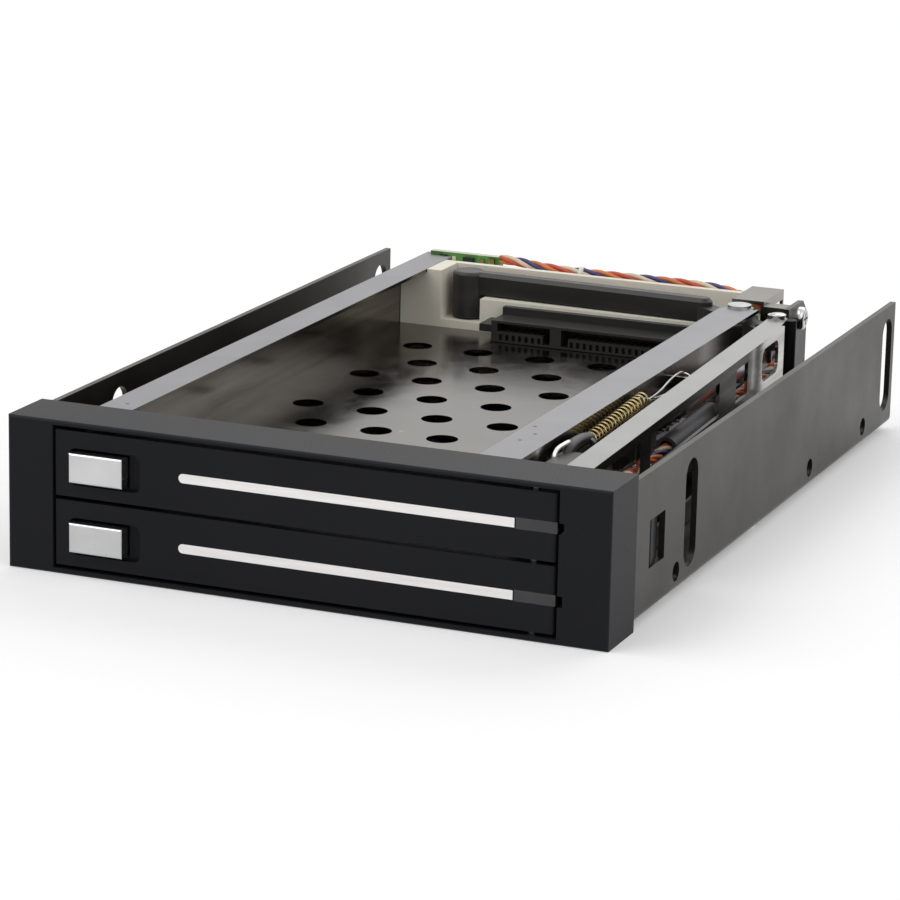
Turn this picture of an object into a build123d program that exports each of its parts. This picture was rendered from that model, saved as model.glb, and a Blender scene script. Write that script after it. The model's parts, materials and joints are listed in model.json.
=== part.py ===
from build123d import *
import math
import os

# A cage for two small drives that fills one bay. Millimetres, +Z up, the doors face -Y.
# The sizes below measure Y from the front face of the bezel towards the rear. At the end every
# piece moves by ORIGIN_SHIFT, which puts the origin under the middle of the whole cage.

# Bezel
BAY_WIDTH = 101.6
BEZEL_HEIGHT = 25.0
BEZEL_DEPTH = 11.4
LEFT_PILLAR = 8.0
RIGHT_PILLAR = 8.3
BOTTOM_BAR = 0.9
TOP_BAR = 0.75
PILLAR_WALL = 1.2
PILLAR_FACE = 2.0
BEZEL_EDGE = 0.5
LIGHT_NOTCH = 0.8
SNAP_ARM_THICKNESS = 0.8
SNAP_CLEARANCE = 0.2

# Chassis
SHEET = 1.0
CHASSIS_LOW = 1.2
WALL_HIGH = 24.0
CHASSIS_REACH = 150.0
BEND_RADIUS = 1.4
SNAP_HOLE_Y = (17.4, 24.4)
SNAP_HOLE_Z = (8.5, 16.2)
SLOT_WIDTH = 5.8
FRONT_SLOT_Y = 36.7
FRONT_SLOT_Z = (3.9, 21.5)
REAR_SLOT_INSET = 4.6
REAR_SLOT_Z = (4.6, 21.7)
SIDE_HOLE_RADIUS = 1.6
SIDE_HOLE_Z = 4.6
FIRST_SIDE_HOLE_Y = 30.4
SIDE_HOLE_SPACING = 101.6
MIDDLE_HOLE_SPACING = 69.8
BASE_HOLE_RADIUS = 1.6
BASE_HOLE_INSET = 3.175
BASE_HOLE_SPACING_Y = 44.45
TAB_INSET = 15.4
TAB_GAP = 4.0
TAB_WIDTH = 11.0
TAB_HIGH = 24.8
TAB_CORNER = 2.4
TAB_FOOT = 8.0
TAB_SLOT_Z = (13.0, 18.5)
TAB_SLOT_WIDTH = 1.6
TAB_SLOT_INSET = 2.6

# Decks
DECK_SHEET = 0.6
UPPER_FLOOR = 13.4
UPPER_TOP = 24.2
DECK_FRONT = 13.0
RAIL_INSET = 0.9
SIDE_RAIL_OUTSET = 0.1
CHANNEL_WIDTH = 11.9
LEFT_FLANGE = 5.9
LEFT_RAIL_PROUD = 1.8
GUIDE_FLANGE = 6.9
GUIDE_REACH = 4.0
FLANGE_CORNER = 1.4
EAR_REACH = 2.6
EAR_INNER = 2.0
SEAT_CLEARANCE = 0.1
EAR_SPANS = ((20.0, 32.0), (69.0, 88.0), (108.0, 116.0))
RIVET_RADIUS = 1.0
RIVET_HEAD = 0.5
HOLE_RADIUS = 2.7
HOLE_PITCH_X = 12.04
HOLE_PITCH_Y = 12.09
HOLE_SHIFT_X = -0.97
LAST_HOLE_ROW_GAP = 8.4
HOLE_ROWS = 9
HOLES_IN_ROW = 5

# Side rail, turned a little so that the ejector channel narrows towards the rear
SIDE_RAIL_TURN = 1.97
SIDE_RAIL_LENGTH = 114.0
SIDE_RAIL_FLANGE = 4.4
SIDE_RAIL_FOOT = 2.4
SIDE_RAIL_POINT = 6.2
SIDE_WINDOWS = ((7.0, 24.5), (30.0, 68.0), (78.0, 85.0))
ROUND_WINDOW = (94.0, 104.2)
WINDOW_CORNER = 1.8
WINDOW_LOW = 3.4
WINDOW_HIGH = 9.3
SPRING_STOP = 54.0
SPRING_STOP_LOW = 5.4
SPRING_STOP_WIDTH = 1.8
RAIL_SCREW_INSET = 1.6
RAIL_SCREW_RADIUS = 1.6
RAIL_SCREW_HEAD = 0.8
POST_RADIUS = 1.1
POST_BEHIND = 1.4

# Doors, which turn on one pin at their right end
DOOR_FACE = 0.3
DOOR_THICKNESS = 4.7
DOOR_GAP = 0.4
DOOR_HEIGHT = 10.7
UPPER_DOOR_MIDDLE = 18.2
LOWER_DOOR_MIDDLE = 6.85
DOOR_CORNER = 0.9
DOOR_SKIN = 1.9
DOOR_POCKETS = 3
FIRST_RIB = 17.4
HINGE_SETBACK = 2.1
HINGE_PIN_RADIUS = 0.75
RUNNING_CLEARANCE = 0.05
DOOR_SWING = 90.0
CAM_STEPS = 8
TRIM_LEFT_MARGIN = 21.5
TRIM_RIGHT_MARGIN = 6.9
TRIM_HEIGHT = 1.5
TRIM_DEPTH = 0.6
PIPE_HEIGHT = 1.8
PIPE_DEPTH = 1.1
PIPE_GAP = 0.2

# Buttons and latches
BUTTON_INSET = 2.8
BUTTON_WIDTH = 9.4
BUTTON_HEIGHT = 4.9
BUTTON_PROUD = 1.3
BUTTON_DEPTH = 4.2
BUTTON_DROP = 0.4
BUTTON_TRAVEL = 1.8
SPRING_SOLID = 1.1
BUTTON_EDGE = 0.45
BUTTON_CLEARANCE = 0.2
POCKET_MARGIN = 0.5
POCKET_WIDTH = 12.5
POCKET_HEIGHT = 6.0
POCKET_DEPTH = 1.2
POCKET_CORNER = 1.2
STEM_WIDTH = 7.0
STEM_HEIGHT = 4.0
SHOULDER = 0.8
SHOULDER_MARGIN = 0.5
LATCH_WALL = 1.0
LATCH_MARGIN = 2.1
HOOK_INSET = 3.2
HOOK_WIDTH = 2.6
HOOK_HEIGHT = 2.0
HOOK_LENGTH = 7.0
HOOK_CLEARANCE = 0.4
HOOK_POINT = 1.6
BUTTON_SPRING_RADIUS = 2.6
BUTTON_SPRING_TURNS = 3
KEEPER_DEPTH = 5.0
KEEPER_HEIGHT = 9.6
KEEPER_GAP = 0.9
CATCH_HEIGHT = 3.0
CATCH_DEPTH = 1.6
KICK_SPRING_INSET = 2.5
KICK_SPRING_RISE = 2.2
KICK_SPRING_RADIUS = 1.3
KICK_SPRING_TURNS = 3

# Ejector: the door's rounded end pushes a link, and the link turns the arm behind the drive
PIVOT_INSET = 3.7
PIVOT_BEHIND = 4.1
PIVOT_RADIUS = 1.5
PIVOT_HEAD_RADIUS = 2.15
PIVOT_HEAD = 0.6
PIVOT_FLANGE_RADIUS = 2.6
CRANK_X = 7.0
CRANK_Y = 6.0
CRANK_WALL = 0.75
ARM_SWING = 9.0
ARM_WIDTH = 3.4
ARM_LOW = 6.4
ARM_HEADROOM = 0.3
ARM_END_INSET = 9.0
ARM_END_BEHIND = 6.4
ARM_CROWN = 0.7
HUB_LOW = 5.3
HUB_HIGH = 9.1
ARM_HUB = 3.5
FOOT_INSET = 12.9
FOOT_BEHIND = 8.2
FOOT_RADIUS = 3.1
FOOT_LOW = 1.9
LINK_PIN_RADIUS = 1.05
LINK_GAP = 0.3
CAM_GAP = 0.45
LINK_LOW = 2.8
LINK_HIGH = 4.9
BAR_INSET = 2.5
BAR_THICKNESS = 1.0
BAR_END_RADIUS = 1.3
HEAD_Y = (14.2, 31.0)
HEAD_INSET = 1.5
HEAD_HIGH = 9.0
HEAD_CURVE = 3.0
HEAD_NOSE_Z = (3.4, 7.4)
NOSE_RADIUS = 1.5
NECK_SIZE = 1.4
BAR_OVERLAP = 5.0
SHOE_Y = (43.0, 53.0)
SHOE_WIDTH = 4.8
SHOE_FOOT = 2.2
SHOE_STEP = 0.9
SHOE_HIGH = 8.4
SHOE_WALL = 3.5
RETURN_SPRING_RADIUS = 1.9
RETURN_SPRING_TURNS = 9
RETURN_SPRING_INSET = 2.3
RETURN_SPRING_Y = (38.0, 65.0)
RETURN_SPRING_RISE = 7.6
LINK_SPRING_RADIUS = 1.5
LINK_SPRING_TURNS = 6
LINK_SPRING_INSET = 6.6
LINK_SPRING_RISE = 6.9
SPRING_ANCHOR_Y = 84.0
SPRING_ANCHOR_REACH = 3.0
SPRING_ANCHOR_HEIGHT = 2.4
SPRING_WIRE = 0.4

# Rear: receptacles, brackets, board. Heights are above the deck's plate.
RECEPTACLE_SHIFT = 4.3
RECEPTACLE_WIDTH = 37.2
RECEPTACLE_BEHIND = 1.0
RECEPTACLE_LOW = 0.1
RECEPTACLE_HIGH = 4.1
RECEPTACLE_STEP = 5.6
RECEPTACLE_BACK_HIGH = 5.5
RECEPTACLE_EAR = 2.9
RECEPTACLE_EAR_FRONT = 1.3
RECEPTACLE_EAR_Z = (1.5, 2.9)
SEAT_MARGIN = 1.5
CONTACT_PITCH = 1.27
SIGNAL_CONTACTS = 7
POWER_CONTACTS = 15
FIRST_CONTACT = 1.9
POWER_FIRST_CONTACT = 15.9
TONGUE_Z = (1.6, 2.15)
TONGUE_MARGIN = 0.7
KEY_WIDTH = 1.4
SLOT_HIGH = 3.65
SLOT_DEPTH = 4.5
COMB_LOW = 0.5
COMB_DEPTH = 0.8
COMB_SLIT = 0.65
GROOVE_WIDTH = 0.6
GROOVE_FRONT = 0.55
GROOVE_DEPTH = 0.4
CONTACT_THICKNESS = 0.25
BRACKET_BEHIND = 8.1
BRACKET_LEDGE = 1.5
BRACKET_RIGHT_GAP = 1.7
BRACKET_TOP_RIGHT_GAP = 7.0
ARM_POCKET_DEPTH = 7.8
FOOT_GAP_LEFT = 0.9
FOOT_GAP_RIGHT = 0.8
PANEL_WALL = 1.5
WIRE_SHELF_DROP = 1.1
WIRE_DIP_DROP = 4.2
WIRE_DIP_X = 18.3
PANEL_THICKNESS = 5.1
BOARD_THICKNESS = 1.6
BOARD_INSET_LEFT = 1.3
BOARD_INSET_RIGHT = 3.2
BOARD_LOW = 3.2
BOARD_HIGH = 24.9
BOARD_STEP = 15.6
BOARD_STEP_HIGH = 23.0
DECK_TO_BOARD = 0.4
PLUG_PROUD = 5.4
PLUG_WALL = 1.0
PLUG_TONGUE = 1.2
DATA_PLUG_INSET = 7.9
DATA_PLUG_SIZE = (16.0, 5.2)
DATA_PLUG_Z = (8.0, 18.0)
POWER_PLUG_INSET = 35.9
POWER_PLUG_SIZE = (25.0, 6.0)
POWER_PLUG_Z = 11.5
CORNER_Y_BEHIND = (8.2, 20.1)
CORNER_TOP = 24.8
CORNER_REACH = 6.1
CORNER_INSET = 0.4
CORNER_WINDOW_Y = (13.6, 19.6)
CORNER_WINDOW_Z = (17.6, 23.0)
LUG_SIZE = 3.6
SCREW_BEHIND = 9.6
SCREW_Z = 22.2
SCREW_HEAD_RADIUS = 2.1
SCREW_HEAD = 1.5
SCREW_CROWN = 0.8
SCREW_RADIUS = 1.4

# Lamps and their harness. Each bend takes this share of its shorter run.
BEND_SHARE = 0.45
LAMP_RADIUS = 1.1
LAMP_SETBACK = 1.6
LAMP_BOARD_INSET = 4.2
LAMP_BOARD_THICKNESS = 1.0
LAMP_BOARD_Z = (3.6, 21.4)
HARNESS_RADIUS = 0.95
SLEEVE_RADIUS = 1.9
SLEEVE_WALL = 0.6
SLEEVE_Y = (60.0, 86.0)

# Overlap that makes a cut run clear of the face it opens
THROUGH = 1.0

# Places across the cage, worked out from the sizes above
HALF_WIDTH = BAY_WIDTH / 2
OPENING_LEFT = LEFT_PILLAR - HALF_WIDTH
OPENING_RIGHT = HALF_WIDTH - RIGHT_PILLAR
DOOR_LEFT = OPENING_LEFT + DOOR_GAP
DOOR_RIGHT = OPENING_RIGHT - DOOR_GAP
RAIL_LEFT = OPENING_LEFT + RAIL_INSET
SIDE_RAIL_FRONT_X = OPENING_RIGHT + SIDE_RAIL_OUTSET
GUIDE_RIGHT = SIDE_RAIL_FRONT_X - CHANNEL_WIDTH
TAB_LEFT = HALF_WIDTH - TAB_INSET
TRIM_X = (DOOR_LEFT + TRIM_LEFT_MARGIN, DOOR_RIGHT - TRIM_RIGHT_MARGIN)
PIPE_LEFT = TRIM_X[1] + PIPE_GAP
BUTTON_X = (DOOR_LEFT + BUTTON_INSET, DOOR_LEFT + BUTTON_INSET + BUTTON_WIDTH)
POCKET_X = (BUTTON_X[0] - POCKET_MARGIN, BUTTON_X[0] - POCKET_MARGIN + POCKET_WIDTH)
HOOK_X = (BUTTON_X[0] + HOOK_INSET, BUTTON_X[0] + HOOK_INSET + HOOK_WIDTH)
PIVOT_X = GUIDE_RIGHT - PIVOT_INSET
FOOT_X = RAIL_LEFT + FOOT_INSET
BAR_X = (GUIDE_RIGHT + BAR_INSET, GUIDE_RIGHT + BAR_INSET + BAR_THICKNESS)
RETURN_SPRING_X = GUIDE_RIGHT + RETURN_SPRING_INSET
TRAY_MIDDLE = (RAIL_LEFT + GUIDE_RIGHT) / 2
RECEPTACLE_LEFT = TRAY_MIDDLE + RECEPTACLE_SHIFT - RECEPTACLE_WIDTH / 2
RECEPTACLE_X = (RECEPTACLE_LEFT, RECEPTACLE_LEFT + RECEPTACLE_WIDTH)
BOARD_X = (RAIL_LEFT + BOARD_INSET_LEFT, GUIDE_RIGHT - BOARD_INSET_RIGHT)
BOARD_STEP_X = RAIL_LEFT + BOARD_STEP
CORNER_X = (GUIDE_RIGHT - CORNER_INSET - CORNER_REACH, GUIDE_RIGHT - CORNER_INSET)
LAMP_BOARD_X = HALF_WIDTH - LAMP_BOARD_INSET

# Places along the cage
CHANNEL_END = DECK_FRONT + SIDE_RAIL_LENGTH
TAB_Y = (CHANNEL_END + TAB_GAP, CHANNEL_END + TAB_GAP + TAB_WIDTH)
GUIDE_REAR = CHANNEL_END + GUIDE_REACH
PIVOT_Y = CHANNEL_END + PIVOT_BEHIND
RECEPTACLE_FRONT = CHANNEL_END + RECEPTACLE_BEHIND
BRACKET_FRONT = CHANNEL_END + BRACKET_BEHIND
BRACKET_PANEL = BRACKET_FRONT + ARM_POCKET_DEPTH
BOARD_Y = BRACKET_PANEL + PANEL_THICKNESS
BOARD_REAR = BOARD_Y + BOARD_THICKNESS
DECK_REAR = BOARD_Y - DECK_TO_BOARD
LEFT_RAIL_REAR = BOARD_Y + LEFT_RAIL_PROUD
CORNER_Y = (CHANNEL_END + CORNER_Y_BEHIND[0], CHANNEL_END + CORNER_Y_BEHIND[1])
SCREW_Y = CHANNEL_END + SCREW_BEHIND
LAST_HOLE_ROW_Y = CHANNEL_END - LAST_HOLE_ROW_GAP
REAR_SLOT_Y = CHASSIS_REACH - REAR_SLOT_INSET
BASE_HOLE_SPACING_X = BAY_WIDTH - 2 * BASE_HOLE_INSET
DOOR_REAR = DOOR_FACE + DOOR_THICKNESS
FRONT_REACH = BUTTON_PROUD - DOOR_FACE
SHOULDER_REAR = DOOR_REAR + SEAT_CLEARANCE + SHOULDER
LATCH_COVER_REAR = SHOULDER_REAR + BUTTON_TRAVEL + SPRING_SOLID + LATCH_WALL + LINK_GAP
ORIGIN_SHIFT = (FRONT_REACH - BOARD_REAR - PLUG_PROUD) / 2

# Heights
OPENING_LOW = BOTTOM_BAR
OPENING_HIGH = BEZEL_HEIGHT - TOP_BAR
CHASSIS_FLOOR = CHASSIS_LOW + SHEET
LOWER_FLOOR = CHASSIS_FLOOR + DECK_SHEET
LOWER_TOP = UPPER_FLOOR - DECK_SHEET

# Door cam and the link that it pushes
CRANK_ANGLE = math.atan2(CRANK_Y, CRANK_X)
LINK_TRAVEL = CRANK_X * (math.tan(CRANK_ANGLE) - math.tan(CRANK_ANGLE - math.radians(ARM_SWING)))
HINGE_Y = DOOR_FACE + HINGE_SETBACK
CAM_LOW = DOOR_REAR - HINGE_Y
CAM_HIGH = CAM_LOW + LINK_TRAVEL
HINGE_X = DOOR_RIGHT - CAM_HIGH


class Deck:
    """One of the two levels: the top of its plate, the height it may fill, and its door."""

    def __init__(self, name, floor, top, door_middle, flange_inward):
        self.name = name
        self.floor = floor
        self.top = top
        self.door_middle = door_middle
        self.button_middle = door_middle - BUTTON_DROP
        self.flange_inward = flange_inward


DECKS = (
    Deck("upper", UPPER_FLOOR, UPPER_TOP, UPPER_DOOR_MIDDLE, True),
    Deck("lower", LOWER_FLOOR, LOWER_TOP, LOWER_DOOR_MIDDLE, False),
)


def slab(x, y, z):
    """A block between two limits on each axis."""
    spans = (x, y, z)
    middle = [(low + high) / 2 for low, high in spans]
    return Pos(*middle) * Box(*[high - low for low, high in spans])


def about(middle, size):
    """The two limits of a span of this size about its middle."""
    return (middle - size / 2, middle + size / 2)


def raised(base, span):
    """A span measured up from a base."""
    return (base + span[0], base + span[1])


def rod(axis, at, span, radius):
    """A round bar along X, Y or Z. at gives its place on the other two axes."""
    middle = sum(span) / 2
    length = span[1] - span[0]
    if axis == "X":
        return Pos(middle, *at) * Rot(0, 90, 0) * Cylinder(radius, length)
    if axis == "Y":
        return Pos(at[0], middle, at[1]) * Rot(90, 0, 0) * Cylinder(radius, length)
    return Pos(*at, middle) * Cylinder(radius, length)


def plate(points, low, high):
    """A flat sheet with this outline, seen from above."""
    outline = make_face(Polyline(*points, close=True))
    return Pos(0, 0, low) * extrude(outline, high - low)


def upright_slot(y, z, width, x):
    """The solid that cuts a slot with round ends, running up a side wall."""
    shape = SlotOverall(z[1] - z[0], width, rotation=90)
    place = Plane(origin=(x[0], y, sum(z) / 2), x_dir=(0, 1, 0), z_dir=(1, 0, 0))
    return extrude(place * shape, x[1] - x[0])


def ribbed_spring(x, z, y, radius, turns):
    """A coil spring along Y as a sleeve with one ridge for each turn."""
    pitch = (y[1] - y[0]) / turns
    inner = radius - 2 * SPRING_WIRE
    points = [(inner, 0)]
    for turn in range(turns):
        points.append((radius - SPRING_WIRE, turn * pitch))
        points.append((radius, (turn + 0.5) * pitch))
    points.append((radius - SPRING_WIRE, turns * pitch))
    points.append((inner, turns * pitch))
    profile = make_face(Polyline(*points, close=True))
    return Pos(x, y[0], z) * revolve(profile, Axis.Y)


def chassis_shell():
    """The folded steel U that carries everything."""
    outline = Polyline(
        (-HALF_WIDTH, WALL_HIGH),
        (-HALF_WIDTH, CHASSIS_LOW),
        (HALF_WIDTH, CHASSIS_LOW),
        (HALF_WIDTH, WALL_HIGH),
        (HALF_WIDTH - SHEET, WALL_HIGH),
        (HALF_WIDTH - SHEET, CHASSIS_FLOOR),
        (SHEET - HALF_WIDTH, CHASSIS_FLOOR),
        (SHEET - HALF_WIDTH, WALL_HIGH),
        close=True,
    )
    section = Plane(origin=(0, BEZEL_DEPTH, 0), x_dir=(1, 0, 0), z_dir=(0, -1, 0)) * make_face(outline)
    shell = extrude(section, BEZEL_DEPTH - CHASSIS_REACH)
    bends = shell.edges().filter_by(Axis.Y).group_by(Axis.Z)[0]
    shell = fillet(bends, BEND_RADIUS)
    side_holes = [FIRST_SIDE_HOLE_Y + step for step in (0, MIDDLE_HOLE_SPACING, SIDE_HOLE_SPACING)]
    base_holes = [FIRST_SIDE_HOLE_Y + step for step in (0, BASE_HOLE_SPACING_Y)]
    floor = (CHASSIS_LOW - THROUGH, CHASSIS_FLOOR + THROUGH)
    for side in (-1, 1):
        wall = about(side * (HALF_WIDTH - SHEET / 2), 2 * SHEET)
        shell -= slab(wall, SNAP_HOLE_Y, SNAP_HOLE_Z)
        shell -= upright_slot(FRONT_SLOT_Y, FRONT_SLOT_Z, SLOT_WIDTH, wall)
        shell -= upright_slot(REAR_SLOT_Y, REAR_SLOT_Z, SLOT_WIDTH, wall)
        for y in side_holes:
            shell -= rod("X", (y, SIDE_HOLE_Z), wall, SIDE_HOLE_RADIUS)
        for y in base_holes:
            shell -= rod("Z", (side * BASE_HOLE_SPACING_X / 2, y), floor, BASE_HOLE_RADIUS)
    return shell


def chassis_rear_tab():
    """The upright tab welded to the floor, which holds the decks at the rear."""
    outline = Polyline(
        (TAB_Y[0], CHASSIS_FLOOR),
        (TAB_Y[1], CHASSIS_FLOOR),
        (TAB_Y[1], TAB_HIGH - TAB_CORNER),
        (TAB_Y[1] - TAB_CORNER, TAB_HIGH),
        (TAB_Y[0], TAB_HIGH),
        close=True,
    )
    side = Plane(origin=(TAB_LEFT, 0, 0), x_dir=(0, 1, 0), z_dir=(1, 0, 0))
    tab = extrude(side * make_face(outline), SHEET)
    tab += slab((TAB_LEFT, TAB_LEFT + TAB_FOOT), TAB_Y, (CHASSIS_FLOOR, CHASSIS_FLOOR + SHEET))
    through = (TAB_LEFT - THROUGH, TAB_LEFT + SHEET + THROUGH)
    tab -= rod("X", (SCREW_Y, SCREW_Z), through, SCREW_RADIUS + SEAT_CLEARANCE)
    return tab - upright_slot(TAB_Y[0] + TAB_SLOT_INSET, TAB_SLOT_Z, TAB_SLOT_WIDTH, through)


def tab_screw():
    """Pan head screw through the tab into the corner bracket's lug."""
    low = TAB_LEFT + SHEET
    head = rod("X", (SCREW_Y, SCREW_Z), (low, low + SCREW_HEAD), SCREW_HEAD_RADIUS)
    head = fillet(head.edges().group_by(Axis.X)[-1], SCREW_CROWN)
    return head + rod("X", (SCREW_Y, SCREW_Z), (TAB_LEFT, low), SCREW_RADIUS)


def rail_post():
    """The black spacer that stands behind the side rail's end."""
    slope = math.tan(math.radians(SIDE_RAIL_TURN))
    at = (SIDE_RAIL_FRONT_X - slope * SIDE_RAIL_LENGTH - POST_RADIUS, CHANNEL_END + POST_BEHIND)
    return rod("Z", at, (CHASSIS_FLOOR, UPPER_TOP - DECK_SHEET), POST_RADIUS)


def front_bezel():
    """The moulded front frame, with hollow side pillars and two snap arms."""
    frame = slab((-HALF_WIDTH, HALF_WIDTH), (0, BEZEL_DEPTH), (0, BEZEL_HEIGHT))
    edges = frame.edges().group_by(Axis.Y)[0]
    frame = fillet(edges, BEZEL_EDGE)
    rear = BEZEL_DEPTH + THROUGH
    frame -= slab((OPENING_LEFT, OPENING_RIGHT), (-THROUGH, rear), (OPENING_LOW, OPENING_HIGH))
    pillars = ((-HALF_WIDTH, OPENING_LEFT), (OPENING_RIGHT, HALF_WIDTH))
    for low, high in pillars:
        hollow = (low + PILLAR_WALL, high - PILLAR_WALL)
        frame -= slab(hollow, (PILLAR_FACE, rear), (PILLAR_WALL, BEZEL_HEIGHT - PILLAR_WALL))
    for deck in DECKS:
        light_way = (OPENING_RIGHT - THROUGH, OPENING_RIGHT + LIGHT_NOTCH)
        frame -= slab(light_way, (-THROUGH, DOOR_REAR), about(deck.door_middle, PIPE_HEIGHT))
        lamp_way = (OPENING_RIGHT - THROUGH, OPENING_RIGHT + PILLAR_WALL + THROUGH)
        lamp_y = about(PILLAR_FACE + LAMP_SETBACK, 2 * LAMP_RADIUS + BUTTON_CLEARANCE)
        frame -= slab(lamp_way, lamp_y, about(deck.door_middle, 2 * LAMP_RADIUS + BUTTON_CLEARANCE))
    frame -= rod("Z", (HINGE_X, HINGE_Y), hinge_span(), HINGE_PIN_RADIUS)
    for side in (-1, 1):
        frame += snap_arm(side)
    return frame


def snap_arm(side):
    """A springy arm behind the pillar, whose wedge sits in the chassis's square hole."""
    inner = HALF_WIDTH - SHEET - SNAP_CLEARANCE
    z = (SNAP_HOLE_Z[0] + SNAP_CLEARANCE, SNAP_HOLE_Z[1] - SNAP_CLEARANCE)
    end = SNAP_HOLE_Y[1] - SNAP_CLEARANCE
    start = PILLAR_FACE + PILLAR_WALL
    outline = (
        (side * (inner - SNAP_ARM_THICKNESS), start),
        (side * inner, start),
        (side * inner, SNAP_HOLE_Y[0] + SNAP_CLEARANCE),
        (side * (HALF_WIDTH - SNAP_CLEARANCE), SNAP_HOLE_Y[0] + SNAP_CLEARANCE + SHEET),
        (side * inner, end),
        (side * (inner - SNAP_ARM_THICKNESS), end),
    )
    arm = plate(outline, z[0], z[1])
    root_x = sorted((side * (inner - SNAP_ARM_THICKNESS), side * (HALF_WIDTH - PILLAR_WALL / 2)))
    return arm + slab(root_x, (start, BEZEL_DEPTH - SHEET), z)


def hinge_span():
    """The height of the hinge pin, held in the bezel's bottom and top bars."""
    return (OPENING_LOW / 2, OPENING_HIGH + TOP_BAR / 2)


def door_hinge_pin():
    return rod("Z", (HINGE_X, HINGE_Y), hinge_span(), HINGE_PIN_RADIUS)


def deck_plate(deck):
    """The perforated sheet under a drive, with ears for the rivets."""
    low = deck.floor - DECK_SHEET
    right_rear = SIDE_RAIL_FRONT_X - SIDE_RAIL_LENGTH * math.tan(math.radians(SIDE_RAIL_TURN))
    step = TAB_LEFT - 2 * SHEET
    outline = (
        (RAIL_LEFT, DECK_FRONT),
        (SIDE_RAIL_FRONT_X, DECK_FRONT),
        (right_rear, CHANNEL_END),
        (step, CHANNEL_END),
        (step, DECK_REAR),
        (RAIL_LEFT, DECK_REAR),
    )
    sheet = plate(outline, low, deck.floor)
    for span in EAR_SPANS:
        sheet += slab((RAIL_LEFT - EAR_REACH, RAIL_LEFT), span, (low, deck.floor))
    through = (low - THROUGH, deck.floor + THROUGH)
    sheet -= [rod("Z", at, through, HOLE_RADIUS) for at in hole_pattern()]
    if deck.flange_inward:
        sheet -= rod("Z", (PIVOT_X, PIVOT_Y), through, PIVOT_RADIUS)
    return sheet


def hole_pattern():
    """Staggered rows of holes about the middle of the tray."""
    middle = TRAY_MIDDLE + HOLE_SHIFT_X
    places = []
    for row in range(HOLE_ROWS):
        count = HOLES_IN_ROW - row % 2
        for column in range(count):
            x = middle + (column - (count - 1) / 2) * HOLE_PITCH_X
            places.append((x, LAST_HOLE_ROW_Y - row * HOLE_PITCH_Y))
    return places


def left_rail(deck):
    """The rail along the drive's left side. The upper one folds in over the drive."""
    web = slab((RAIL_LEFT, RAIL_LEFT + DECK_SHEET), (DECK_FRONT, LEFT_RAIL_REAR), (deck.floor, deck.top))
    high = (deck.top - DECK_SHEET, deck.top)
    if deck.flange_inward:
        web += slab((RAIL_LEFT, RAIL_LEFT + LEFT_FLANGE), (DECK_FRONT, BOARD_Y - SEAT_CLEARANCE), high)
    for span in EAR_SPANS:
        ear = (deck.floor, deck.floor + DECK_SHEET) if deck.flange_inward else high
        web += slab((RAIL_LEFT - EAR_REACH, RAIL_LEFT + DECK_SHEET), span, ear)
    return web


def guide_rail(deck):
    """The rail between the drive and the ejector channel, open at the rear for the arm."""
    high = (deck.top - DECK_SHEET, deck.top)
    wall = (GUIDE_RIGHT - DECK_SHEET, GUIDE_RIGHT)
    web = slab(wall, (DECK_FRONT, GUIDE_REAR), (deck.floor, deck.top))
    arm_top = high[0] if deck.flange_inward else deck.top + THROUGH
    arm_y = (PIVOT_Y - CRANK_Y - ARM_HUB, GUIDE_REAR + THROUGH)
    web -= slab(
        (wall[0] - THROUGH, wall[1] + THROUGH), arm_y, (deck.floor + HUB_LOW - LINK_GAP, arm_top)
    )
    if deck.flange_inward:
        left = GUIDE_RIGHT - GUIDE_FLANGE
        outline = (
            (left, DECK_FRONT),
            (GUIDE_RIGHT, DECK_FRONT),
            (GUIDE_RIGHT, GUIDE_REAR - FLANGE_CORNER),
            (GUIDE_RIGHT - FLANGE_CORNER, GUIDE_REAR),
            (left + FLANGE_CORNER, GUIDE_REAR),
            (left, GUIDE_REAR - FLANGE_CORNER),
        )
        web += plate(outline, high[0], high[1])
        web += rod("Z", (PIVOT_X, PIVOT_Y), high, PIVOT_FLANGE_RADIUS)
        web -= rod("Z", (PIVOT_X, PIVOT_Y), (high[0] - THROUGH, high[1] + THROUGH), PIVOT_RADIUS)
    for span in EAR_SPANS:
        web += slab((GUIDE_RIGHT, GUIDE_RIGHT + EAR_INNER), span, (deck.floor, deck.floor + DECK_SHEET))
    tongue_y = about(SPRING_ANCHOR_Y, DECK_SHEET)
    tongue_z = about(deck.floor + RETURN_SPRING_RISE, SPRING_ANCHOR_HEIGHT)
    return web + slab((GUIDE_RIGHT, GUIDE_RIGHT + SPRING_ANCHOR_REACH), tongue_y, tongue_z)


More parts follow.
